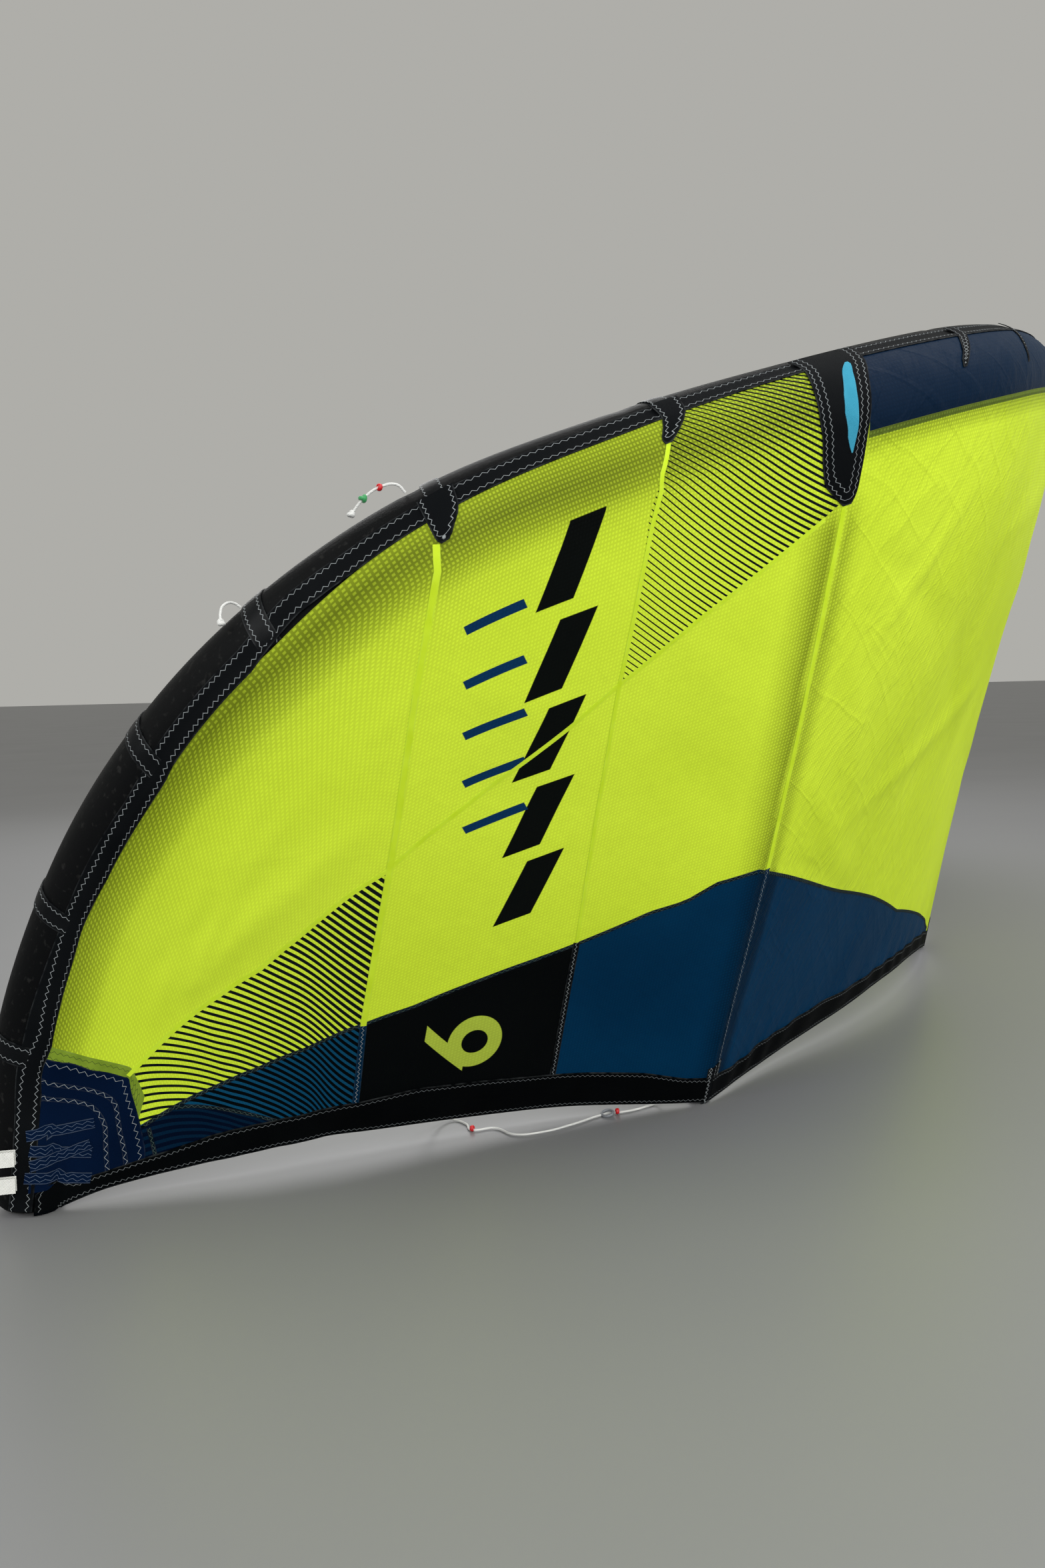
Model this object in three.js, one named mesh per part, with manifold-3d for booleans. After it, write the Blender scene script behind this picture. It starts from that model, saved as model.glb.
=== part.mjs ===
// Inflated three-strut kitesurfing kite of nine square metres, standing on its wing tips and strut ends.
// Millimetres, +Z up. The bulging outer skin faces -Y, the wing tips point to +Y, and X = 0 is the middle.
import * as THREE from 'three';
import { mergeVertices } from 'three/addons/utils/BufferGeometryUtils.js';
import Module from 'manifold-3d';

const wasm = await Module();
wasm.setup();

// Driving dimensions
const CLOTH = 2;            // thickness of the canopy cloth
const STRIP = 1.2;          // thickness of a sewn-on strip or patch
const CLOTH_CLEAR = 2;      // gap between the tube and the cloth that wraps it
const SEAM_GAP = 0.5;       // half the gap between two neighbouring panels or tube lengths
const MIDDLE_Y = 889.6;      // brings the middle of the whole kite to Y = 0
const HALF_SPAN_STATION = 4192;
const CLOTH_END_STATION = 4186;
const TUBE_SIDES = 14;
const FLAP_WIDTH = 27;      // black strip that closes the leading-edge seam
const TAPE_WIDTH = 11;      // seam tape
const STRAP_WIDTH = 32;     // strap over a joint of the leading-edge tube
const LINE_DIAMETER = 4;    // bridle line
const STRUT_CLEAR = 5;      // gap between a strut and the cloth over it

// Heights of sewn-on layers above the middle of the cloth
const LAYER_1 = 2.6;
const LAYER_2 = 4.6;
const LAYER_3 = 6.4;

// Stations of the seams, measured along the leading edge from the middle
const SIDE_STRUT = 2150;
const SEAM_2 = 2475;
const SEAM_1 = 2788;
const TUBE_SPLIT = 3337;

// One row for each chord section of one half, from the middle to the wing tip:
// station along the leading edge, tube axis, tube radius, angle of the leading-edge seam round the tube,
// camber angle of the cloth, trailing edge, and width of the hem band
const SECTIONS = [
  { station: 0, axis: [0, 51, 1525], radius: 105, seam: 70, camber: 10, edge: [0, 264, 4], band: 50 },
  { station: 440, axis: [437, 62, 1511], radius: 105, seam: 70, camber: 10, edge: [330, 298, 60], band: 50 },
  { station: 870, axis: [850, 105, 1474], radius: 104, seam: 70, camber: 10, edge: [690, 382, 75], band: 52 },
  { station: 1307, axis: [1262, 182, 1415], radius: 103, seam: 70, camber: 10, edge: [1010, 506, 55], band: 62 },
  { station: 1730, axis: [1648, 302, 1331], radius: 101, seam: 70, camber: 10, edge: [1330, 662, 20], band: 70 },
  { station: 2150, axis: [1967, 534, 1223], radius: 98, seam: 69, camber: 10, edge: [1568, 755, 4], band: 64 },
  { station: 2475, axis: [2151, 775, 1131], radius: 95, seam: 62, camber: 10, edge: [1718, 1042, 28], band: 86 },
  { station: 2788, axis: [2261, 1040, 1027], radius: 90, seam: 45, camber: 9, edge: [1948, 1343, 45], band: 72 },
  { station: 3060, axis: [2293, 1263, 894], radius: 86, seam: 20, camber: 8, edge: [2000, 1410, 44], band: 66 },
  { station: 3337, axis: [2281, 1467, 726], radius: 80, seam: 2, camber: 6, edge: [2052, 1472, 41], band: 56 },
  { station: 3673, axis: [2248, 1664, 478], radius: 72, seam: -13, camber: 4, edge: [2112, 1560, 33], band: 44 },
  { station: 3927, axis: [2242, 1764, 250], radius: 64, seam: -15, camber: 2, edge: [2190, 1665, 21], band: 34 },
  { station: 4192, axis: [2243, 1790, 0], radius: 54, seam: -15, camber: 0, edge: [2250, 1731, 4], band: 14 },
];
const CORNER_ROW = 5;                 // the trailing edge turns a corner at the side strut
const TIP_AIM = [2100, 1500, 0];      // chord direction kept by the last section
const STEPS_PER_ROW = 3;

// Half widths along the long axis of each sewn-on patch; arc runs from the inner edge of the flap
const STRUT_PATCH = [
  { arc: 2, half: 62 }, { arc: 24, half: 60 }, { arc: 46, half: 57 }, { arc: 68, half: 55 }, { arc: 90, half: 52 },
  { arc: 122, half: 48 }, { arc: 160, half: 42 }, { arc: 205, half: 34 }, { arc: 228, half: 24 },
  { arc: 240, half: 10 },
];
const INLAY = [
  { arc: 12, half: 5 }, { arc: 20, half: 10 }, { arc: 46, half: 11.5 }, { arc: 68, half: 11.5 },
  { arc: 90, half: 11.5 }, { arc: 122, half: 10.5 }, { arc: 148, half: 9 }, { arc: 157, half: 4 },
];
const TAB = [
  { arc: -26, half: 20 }, { arc: 0, half: 21 }, { arc: 22, half: 15 }, { arc: 33, half: 9 },
];
// The diagonal seam tape crosses the panels from the strut patch to the tip patch
const DIAGONAL = [
  { station: 2188, chord: 0.097 }, { station: 2273, chord: 0.131 }, { station: 2391, chord: 0.181 },
  { station: 2497, chord: 0.242 }, { station: 2597, chord: 0.317 }, { station: 2690, chord: 0.384 },
  { station: 2809, chord: 0.465 }, { station: 2980, chord: 0.5 }, { station: 3180, chord: 0.541 },
  { station: 3440, chord: 0.532 }, { station: 3640, chord: 0.523 },
];
// Upper side of the tip patch: where each height of the chord meets it
const TIP_PATCH = [
  { chord: 0.03, station: 3872 }, { chord: 0.18, station: 3841 }, { chord: 0.38, station: 3780 },
  { chord: 0.53, station: 3700 }, { chord: 0.62, station: 3728 }, { chord: 0.75, station: 3760 },
];
const STRUTS = [
  { name: 'strut_centre', station: 0, radius: 46 },
  { name: 'strut_side', station: SIDE_STRUT, radius: 42 },
];
// Radius of a strut along its length, as a share of its largest radius
const STRUT_TAPER = [
  { along: 0.15, share: 1 }, { along: 0.27, share: 1 }, { along: 0.42, share: 0.97 },
  { along: 0.6, share: 0.88 }, { along: 0.8, share: 0.73 }, { along: 0.95, share: 0.58 },
];

// Colours
const finish = (color, roughness) => new THREE.MeshStandardMaterial({ color, roughness, metalness: 0 });
const LIME = finish(0xc8e020, 0.5);
const BLACK = finish(0x111214, 0.6);
const NAVY = finish(0x16345c, 0.5);
const CYAN = finish(0x2fb7d8, 0.4);
const WHITE = finish(0xdadada, 0.7);
const GREY_LINE = finish(0x9a9d9c, 0.6);

// Smooth curve through the rows of one column, with a corner where one is listed
function smoothColumn(read, corners = [], flatStart = false) {
  const x = SECTIONS.map((row) => row.station);
  const y = SECTIONS.map(read);
  const last = x.length - 1;
  const slope = x.slice(1).map((end, i) => (y[i + 1] - y[i]) / (end - x[i]));
  const before = [];
  const after = [];
  for (let i = 0; i <= last; i += 1) {
    let tangent;
    if (i === 0) tangent = flatStart ? 0 : slope[0];
    else if (i === last) tangent = slope[last - 1];
    else {
      const left = x[i] - x[i - 1];
      const right = x[i + 1] - x[i];
      tangent = (slope[i - 1] * right + slope[i] * left) / (left + right);
    }
    before.push(corners.includes(i) ? slope[i - 1] : tangent);
    after.push(corners.includes(i) ? slope[i] : tangent);
  }
  return (station) => {
    let i = 0;
    while (i < last - 1 && station >= x[i + 1]) i += 1;
    const h = x[i + 1] - x[i];
    const u = (station - x[i]) / h;
    const u2 = u * u;
    const u3 = u2 * u;
    return (2 * u3 - 3 * u2 + 1) * y[i] + (u3 - 2 * u2 + u) * h * after[i]
      + (3 * u2 - 2 * u3) * y[i + 1] + (u3 - u2) * h * before[i + 1];
  };
}

const axisColumns = [0, 1, 2].map((k) => smoothColumn((row) => row.axis[k], [], k > 0));
const edgeColumns = [0, 1, 2].map((k) => smoothColumn((row) => row.edge[k], [CORNER_ROW]));
const aimColumns = [0, 1, 2].map((k) => smoothColumn(
  (row) => (row.station === HALF_SPAN_STATION ? TIP_AIM[k] : row.edge[k]),
  [CORNER_ROW],
));
const radiusAt = smoothColumn((row) => row.radius, [], true);
const seamAt = smoothColumn((row) => row.seam, [], true);
const camberAt = smoothColumn((row) => row.camber, [], true);
const bandAt = smoothColumn((row) => row.band, [], true);
const vectorAt = (columns, station) => new THREE.Vector3(...columns.map((column) => column(station)));

// Chord section at a station: tube axis, directions along the tube, down the chord and out of the cloth,
// and the angles round the tube where the seam lies and where the cloth leaves the tube
const sectionStore = new Map();
function sectionAt(station) {
  const key = station.toFixed(3);
  if (sectionStore.has(key)) return sectionStore.get(key);
  const axis = vectorAt(axisColumns, station);
  const edge = vectorAt(edgeColumns, station);
  const ahead = vectorAt(axisColumns, Math.min(station + 2, HALF_SPAN_STATION));
  const behind = vectorAt(axisColumns, Math.max(station - 2, 0));
  const along = ahead.sub(behind).normalize();
  if (station < 1) along.set(1, 0, 0);
  const chord = vectorAt(aimColumns, station).sub(axis);
  chord.addScaledVector(along, -chord.dot(along)).normalize();
  const out = new THREE.Vector3().crossVectors(chord, along).normalize();
  const radius = radiusAt(station);
  const clothRadius = radius + CLOTH_CLEAR + CLOTH / 2;
  const reach = Math.max(edge.clone().sub(axis).dot(chord), clothRadius * 1.3);
  const leave = -Math.asin(clothRadius / reach) + THREE.MathUtils.degToRad(camberAt(station));
  const seam = Math.max(THREE.MathUtils.degToRad(seamAt(station)), leave + 0.05);
  const section = { axis, edge, along, chord, out, radius, clothRadius, leave, seam };
  section.wrap = (seam - leave) * clothRadius;
  section.radial = (angle) => out.clone().multiplyScalar(Math.cos(angle)).addScaledVector(chord, -Math.sin(angle));
  section.start = axis.clone().addScaledVector(section.radial(leave), clothRadius);
  section.span = edge.clone().sub(section.start);
  section.length = section.span.length();
  const lean = section.radial(leave);
  section.rise = -section.span.dot(lean) / out.dot(lean);
  sectionStore.set(key, section);
  return section;
}

// Middle of the cloth at a share of the free chord, from 0 where it leaves the tube to 1 at the edge
function freePoint(station, share) {
  const s = sectionAt(station);
  const bulge = s.rise * share * (1 - share) ** 4;
  return s.start.clone().addScaledVector(s.span, share).addScaledVector(s.out, bulge);
}

function freeNormal(station, share) {
  const low = Math.max(station - 3, 0);
  const high = Math.min(station + 3, CLOTH_END_STATION);
  const down = freePoint(station, Math.min(share + 0.01, 1)).sub(freePoint(station, Math.max(share - 0.01, 0)));
  const side = freePoint(high, share).sub(freePoint(low, share));
  const normal = down.cross(side).normalize();
  if (station < 5) normal.setX(0).normalize();
  return normal;
}

// Point on the cloth at a distance down from the seam, lifted off its middle; negative is up the tube
function skin(station, arc, lift = 0) {
  const s = sectionAt(station);
  if (arc <= s.wrap) {
    const angle = s.seam - arc / s.clothRadius;
    return s.axis.clone().addScaledVector(s.radial(angle), s.clothRadius + lift);
  }
  const share = (arc - s.wrap) / s.length;
  return freePoint(station, share).addScaledVector(freeNormal(station, share), lift);
}
const arcOfShare = (station, share) => sectionAt(station).wrap + share * sectionAt(station).length;
const fullArc = (station) => arcOfShare(station, 1);

// Value between the rows of a short table
function between(rows, at, key, value) {
  let i = 0;
  while (i < rows.length - 2 && at > rows[i + 1][key]) i += 1;
  const t = (at - rows[i][key]) / (rows[i + 1][key] - rows[i][key]);
  return rows[i][value] + t * (rows[i + 1][value] - rows[i][value]);
}

// Stations that every long piece shares, so that their facets lie parallel
const ALL_STATIONS = [];
for (let i = 0; i < SECTIONS.length - 1; i += 1) {
  for (let k = 0; k < STEPS_PER_ROW; k += 1) {
    const step = (SECTIONS[i + 1].station - SECTIONS[i].station) / STEPS_PER_ROW;
    ALL_STATIONS.push(SECTIONS[i].station + k * step);
  }
}
ALL_STATIONS.push(HALF_SPAN_STATION);
function stationsBetween(from, to) {
  return [from, ...ALL_STATIONS.filter((s) => s > from + 5 && s < to - 5), to];
}

// A closed body from points and triangles, turned so that its faces point out
function closedBody(points, triangles) {
  let volume = 0;
  for (const [a, b, c] of triangles) {
    volume += points[a].dot(new THREE.Vector3().crossVectors(points[b], points[c]));
  }
  const index = triangles.flatMap(([a, b, c]) => (volume > 0 ? [a, b, c] : [a, c, b]));
  const geometry = new THREE.BufferGeometry();
  geometry.setAttribute('position', new THREE.Float32BufferAttribute(points.flatMap((p) => p.toArray()), 3));
  geometry.setIndex(index);
  geometry.computeVertexNormals();
  return geometry;
}

// A sheet of even thickness from a grid of middle points
function sheetBody(grid, thickness) {
  const rows = grid.length;
  const columns = grid[0].length;
  const pick = (i, j) => grid[Math.min(Math.max(i, 0), rows - 1)][Math.min(Math.max(j, 0), columns - 1)];
  const upper = [];
  const lower = [];
  for (let i = 0; i < rows; i += 1) {
    for (let j = 0; j < columns; j += 1) {
      const normal = pick(i + 1, j).clone().sub(pick(i - 1, j));
      normal.cross(pick(i, j + 1).clone().sub(pick(i, j - 1))).normalize();
      upper.push(grid[i][j].clone().addScaledVector(normal, thickness / 2));
      lower.push(grid[i][j].clone().addScaledVector(normal, -thickness / 2));
    }
  }
  const count = rows * columns;
  const at = (i, j) => i * columns + j;
  const triangles = [];
  for (let i = 0; i < rows - 1; i += 1) {
    for (let j = 0; j < columns - 1; j += 1) {
      const [a, b, c, d] = [at(i, j), at(i + 1, j), at(i + 1, j + 1), at(i, j + 1)];
      triangles.push([a, b, c], [a, c, d], [a + count, c + count, b + count], [a + count, d + count, c + count]);
    }
  }
  const rim = [];
  for (let j = 0; j < columns - 1; j += 1) rim.push(at(0, j));
  for (let i = 0; i < rows - 1; i += 1) rim.push(at(i, columns - 1));
  for (let j = columns - 1; j > 0; j -= 1) rim.push(at(rows - 1, j));
  for (let i = rows - 1; i > 0; i -= 1) rim.push(at(i, 0));
  rim.forEach((a, k) => {
    const b = rim[(k + 1) % rim.length];
    triangles.push([a, b, b + count], [a, b + count, a + count]);
  });
  return closedBody([...upper, ...lower], triangles);
}

// A closed tube from rings of points, with a fan on each end
function ringBody(rings) {
  const sides = rings[0].length;
  const points = rings.flat();
  const triangles = [];
  for (let i = 0; i < rings.length - 1; i += 1) {
    for (let k = 0; k < sides; k += 1) {
      const next = (k + 1) % sides;
      const [a, b] = [i * sides + k, i * sides + next];
      triangles.push([a, b, b + sides], [a, b + sides, a + sides]);
    }
  }
  [[0, 1], [rings.length - 1, -1]].forEach(([ring, turn]) => {
    const middle = new THREE.Vector3();
    rings[ring].forEach((p) => middle.addScaledVector(p, 1 / sides));
    const hub = points.push(middle) - 1;
    for (let k = 0; k < sides; k += 1) {
      const [a, b] = [ring * sides + k, ring * sides + ((k + 1) % sides)];
      triangles.push(turn > 0 ? [hub, b, a] : [hub, a, b]);
    }
  });
  return closedBody(points, triangles);
}

// Each piece is worked out on the +X half; side -1 gives its mirror image
const kite = new THREE.Group();
function place(name, geometry, material, side = 1) {
  const body = geometry.clone();
  body.translate(0, -MIDDLE_Y, 0);
  if (side < 0) {
    body.scale(-1, 1, 1);
    const index = body.getIndex();
    for (let i = 0; i < index.count; i += 3) {
      const kept = index.getX(i + 1);
      index.setX(i + 1, index.getX(i + 2));
      index.setX(i + 2, kept);
    }
  }
  const mesh = new THREE.Mesh(body, material);
  mesh.name = name;
  kite.add(mesh);
}
function placePair(name, geometry, material) {
  place(`${name}_right`, geometry, material, 1);
  place(`${name}_left`, geometry, material, -1);
}

// Leading-edge tube
function tubeRing(signedStation, share = 1) {
  const side = signedStation < 0 ? -1 : 1;
  const s = sectionAt(Math.abs(signedStation));
  const ring = [];
  for (let k = 0; k < TUBE_SIDES; k += 1) {
    const angle = (k / TUBE_SIDES) * 2 * Math.PI;
    const p = s.axis.clone().addScaledVector(s.radial(angle), s.radius * share);
    ring.push(new THREE.Vector3(p.x * side, p.y, p.z));
  }
  return ring;
}
function buildTube() {
  const half = stationsBetween(0, SIDE_STRUT - SEAM_GAP);
  const centre = [...half.slice(1).reverse().map((s) => -s), ...half];
  place('tube_centre', ringBody(centre.map((s) => tubeRing(s))), BLACK);
  const side = stationsBetween(SIDE_STRUT + SEAM_GAP, TUBE_SPLIT - SEAM_GAP);
  placePair('tube_side', ringBody(side.map((s) => tubeRing(s))), BLACK);
  const tip = stationsBetween(TUBE_SPLIT + SEAM_GAP, HALF_SPAN_STATION - 26).map((s) => tubeRing(s));
  tip.push(tubeRing(HALF_SPAN_STATION - 8, 0.95));
  const sole = tubeRing(HALF_SPAN_STATION, 0.82);
  sole.forEach((p) => p.setZ(0));
  placePair('tube_tip', ringBody([...tip, sole]), BLACK);
}

// Canopy panels, cut at the struts and seams
const FREE_SHARES = [0.07, 0.16, 0.28, 0.44, 0.63, 0.83, 1];
const hemWidth = (station) => Math.min(bandAt(station), sectionAt(station).length * 0.6);
function clothArcs(station) {
  const wrap = sectionAt(station).wrap;
  const open = sectionAt(station).length - hemWidth(station);
  const free = FREE_SHARES.map((share) => wrap + share * open);
  return [-20, -8, 0, wrap / 3, (2 * wrap) / 3, wrap, ...free, fullArc(station)];
}
const clothColumn = (station) => clothArcs(station).map((arc) => skin(station, arc));
function buildCanopy() {
  const cuts = [
    { name: 'panel_centre', from: SEAM_GAP, to: SIDE_STRUT - SEAM_GAP },
    { name: 'panel_inner', from: SIDE_STRUT + SEAM_GAP, to: SEAM_2 - SEAM_GAP },
    { name: 'panel_outer', from: SEAM_2 + SEAM_GAP, to: SEAM_1 - SEAM_GAP },
    { name: 'panel_tip', from: SEAM_1 + SEAM_GAP, to: CLOTH_END_STATION },
  ];
  cuts.forEach(({ name, from, to }) => {
    placePair(name, sheetBody(stationsBetween(from, to).map(clothColumn), CLOTH), LIME);
  });
}

// Black strips along the leading-edge seam and the trailing edge
function buildEdgeStrips() {
  const stations = [...stationsBetween(SEAM_GAP, SIDE_STRUT - SEAM_GAP),
    ...stationsBetween(SIDE_STRUT + SEAM_GAP, CLOTH_END_STATION)];
  const lip = -CLOTH_CLEAR - CLOTH / 2 + 0.5 + STRIP / 2;
  const flap = [[-FLAP_WIDTH - 4, lip], [-FLAP_WIDTH, lip], [-21.5, LAYER_1], [-8, LAYER_1], [0, LAYER_1]];
  placePair('seam_flap', sheetBody(stations.map((s) => flap.map(([arc, lift]) => skin(s, arc, lift))), STRIP), BLACK);
  const band = (s) => [hemWidth(s), 0].map((rest) => skin(s, fullArc(s) - rest, LAYER_1));
  placePair('hem_band', sheetBody(stations.map(band), STRIP), BLACK);
}

// Struts, filled tubes sewn to the inner side of the cloth
function strutRing(station, share, radius, sides = 12) {
  const depth = CLOTH / 2 + STRUT_CLEAR + radius;
  const middle = freePoint(station, share);
  const normal = freeNormal(station, share);
  const middleLow = freePoint(station, Math.min(share + 0.02, 1));
  const down = middleLow.sub(freePoint(station, Math.max(share - 0.02, 0))).normalize();
  const side = new THREE.Vector3().crossVectors(normal, down).normalize();
  middle.addScaledVector(normal, -depth);
  const ring = [];
  for (let k = 0; k < sides; k += 1) {
    const angle = (k / sides) * 2 * Math.PI;
    ring.push(middle.clone().addScaledVector(normal, radius * Math.cos(angle))
      .addScaledVector(side, radius * Math.sin(angle)));
  }
  return { ring, down };
}
// First ring of a strut, carried back to the middle of the tube
function strutRoot(station, ring) {
  const s = sectionAt(station);
  return ring.map((p) => p.clone().addScaledVector(s.chord, -p.clone().sub(s.axis).dot(s.chord))
    .addScaledVector(s.out, -2 * STRUT_CLEAR));
}
const asManifold = (geometry) => new wasm.Manifold(new wasm.Mesh({
  numProp: 3,
  vertProperties: new Float32Array(geometry.getAttribute('position').array),
  triVerts: new Uint32Array(geometry.getIndex().array),
}));
function cutAway(geometry, tool) {
  const mesh = asManifold(geometry).subtract(asManifold(tool)).getMesh();
  const cut = new THREE.BufferGeometry();
  cut.setAttribute('position', new THREE.BufferAttribute(new Float32Array(mesh.vertProperties), 3));
  cut.setIndex([...mesh.triVerts]);
  return cut;
}
// The tube with clearance round it, which hollows the root of a strut
function tubeAllowance(station) {
  const reach = 120;
  const stations = [-reach, -reach / 2, 0, reach / 2, reach].map((offset) => station + offset);
  const share = (s) => (sectionAt(Math.abs(s)).clothRadius + CLOTH) / sectionAt(Math.abs(s)).radius;
  return ringBody(stations.map((s) => tubeRing(s, share(s))));
}
function strutBody({ station, radius }) {
  const rings = STRUT_TAPER.map(({ along, share }) => strutRing(station, along, radius * share));
  const root = strutRoot(station, rings[0].ring);
  const end = strutRing(station, 0.985, radius * STRUT_TAPER.at(-1).share * 0.86);
  const sole = end.ring.map((p) => p.clone().addScaledVector(end.down, -p.z / end.down.z).setZ(0));
  const whole = ringBody([root, ...rings.map(({ ring }) => ring), sole]);
  return cutAway(whole, tubeAllowance(station));
}
function buildStruts() {
  place(STRUTS[0].name, strutBody(STRUTS[0]), BLACK);
  placePair(STRUTS[1].name, strutBody(STRUTS[1]), BLACK);
}

// Tongue-shaped patch centred on a station, which may lie on the middle of the kite
function tongue(station, rows, lift, columns = [-1, -0.5, 0.5, 1]) {
  const mirrored = (s, arc) => {
    const p = skin(Math.abs(s), arc, lift);
    return s < 0 ? p.setX(-p.x) : p;
  };
  return sheetBody(rows.map(({ arc, half }) => columns.map((c) => mirrored(station + c * half, arc))), STRIP);
}
// Black patch over the hem band at the end of a strut
function strutFoot(station) {
  const rows = [78, 52, 26, 2].map((rest) => [-15, 0, 15].map((across) => {
    const s = Math.abs(station + across);
    const p = skin(s, fullArc(s) - rest, LAYER_2);
    return station + across < 0 ? p.setX(-p.x) : p;
  }));
  return sheetBody(rows, STRIP);
}
function buildPatches() {
  place('strut_patch_centre', tongue(0, STRUT_PATCH, LAYER_2), BLACK);
  placePair('strut_patch', tongue(SIDE_STRUT, STRUT_PATCH, LAYER_2), BLACK);
  placePair('inlay', tongue(SIDE_STRUT, INLAY, LAYER_3, [-1, 0, 1]), CYAN);
  place('strut_foot_centre', strutFoot(0), BLACK);
  placePair('strut_foot', strutFoot(SIDE_STRUT), BLACK);
  placePair('seam_tab_outer', tongue(SEAM_1, TAB, LAYER_2, [-1, 0, 1]), BLACK);
  placePair('seam_tab_inner', tongue(SEAM_2, TAB, LAYER_2, [-1, 0, 1]), BLACK);
  const rows = TIP_PATCH.map(({ chord, station }) => [0, 0.22, 0.45, 0.7, 1].map((t) => {
    const s = station + t * (4150 - station);
    const limit = 1 - (hemWidth(s) + 3) / sectionAt(s).length;
    return skin(s, arcOfShare(s, (chord / 0.75) * limit * 0.98), LAYER_1);
  }));
  placePair('tip_patch', sheetBody(rows, STRIP), NAVY);
}

// Seam tapes
function buildTapes() {
  const straight = (station) => {
    const top = TAB.at(-1).arc + 3;
    const end = fullArc(station) - bandAt(station) - 6;
    const arcs = clothArcs(station).filter((arc) => arc > top + 4 && arc < end - 20);
    const rows = [top, ...arcs, end].map((arc) => [-TAPE_WIDTH / 2, TAPE_WIDTH / 2]
      .map((across) => skin(station + across, arc, LAYER_1)));
    return sheetBody(rows, STRIP);
  };
  placePair('tape_outer', straight(SEAM_1), LIME);
  placePair('tape_inner', straight(SEAM_2), LIME);
  const centre = DIAGONAL.map(({ station, chord }) => skin(station, arcOfShare(station, chord), LAYER_2));
  const rows = centre.map((p, i) => {
    const way = centre[Math.min(i + 1, centre.length - 1)].clone().sub(centre[Math.max(i - 1, 0)]).normalize();
    const { station, chord } = DIAGONAL[i];
    const across = new THREE.Vector3().crossVectors(way, freeNormal(station, chord)).normalize();
    return [-TAPE_WIDTH / 2, TAPE_WIDTH / 2].map((w) => p.clone().addScaledVector(across, w));
  });
  placePair('tape_diagonal', sheetBody(rows, STRIP), LIME);
}

// Straps round the joints of the tube, open where the cloth lies on it
const JOINTS = [3900, 3650, 3320, 3055];
function jointStrap(station) {
  const step = (2 * Math.PI) / TUBE_SIDES;
  const s = sectionAt(station);
  const first = Math.ceil((s.seam + (FLAP_WIDTH + 8) / s.radius) / step);
  const last = Math.floor((s.leave + 2 * Math.PI - 0.5) / step);
  const rows = [];
  for (let k = first; k <= last; k += 1) {
    rows.push([-STRAP_WIDTH / 2, STRAP_WIDTH / 2].map((across) => {
      const at = sectionAt(station + across);
      return at.axis.clone().addScaledVector(at.radial(k * step), at.radius + CLOTH_CLEAR + STRIP / 2);
    }));
  }
  return sheetBody(rows, STRIP);
}
function buildStraps() {
  JOINTS.forEach((station, i) => placePair(`joint_strap_${i + 1}`, jointStrap(station), BLACK));
}

// White webbing loops for the back lines, flattened rings that stand off the tube near the tip
const LOOP_STATIONS = [4080, 4126];
const LOOP_LENGTH = 30;
const LOOP_GAP = 11;
const LOOP_WIDTH = 24;
function webbingLoop(station) {
  const s = sectionAt(station);
  const root = s.axis.clone().addScaledVector(s.radial(0.12), s.radius + 7);
  const forward = s.chord.clone().multiplyScalar(-1).setZ(0).normalize();
  const outward = new THREE.Vector3(forward.y, -forward.x, 0);
  if (outward.dot(s.out) < 0) outward.negate();
  const path = [[2, -0.5], [14, -0.5], [LOOP_LENGTH - 4, -0.5], [LOOP_LENGTH - 1, -0.3], [LOOP_LENGTH, 0],
    [LOOP_LENGTH - 1, 0.3], [LOOP_LENGTH - 4, 0.5], [14, 0.5], [2, 0.5]];
  const rows = path.map(([length, height]) => [-0.5, 0.5].map((across) => root.clone()
    .addScaledVector(forward, length).addScaledVector(outward, height * LOOP_GAP + 5)
    .setZ(root.z + across * LOOP_WIDTH)));
  return sheetBody(rows, STRIP);
}
function buildLoops() {
  LOOP_STATIONS.forEach((station, i) => placePair(`webbing_loop_${i + 1}`, webbingLoop(station), WHITE));
}

// A line along points chosen by hand
function lineBody(points, steps) {
  const curve = new THREE.CatmullRomCurve3(points, false, 'centripetal');
  const shape = new THREE.Shape().absarc(0, 0, LINE_DIAMETER / 2, 0, 2 * Math.PI);
  const outline = new THREE.Shape(shape.getPoints(8).slice(0, 8));
  const geometry = new THREE.ExtrudeGeometry(outline, { steps, bevelEnabled: false, extrudePath: curve });
  geometry.deleteAttribute('normal');
  geometry.deleteAttribute('uv');
  return mergeVertices(geometry, 1e-4);
}
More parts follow.
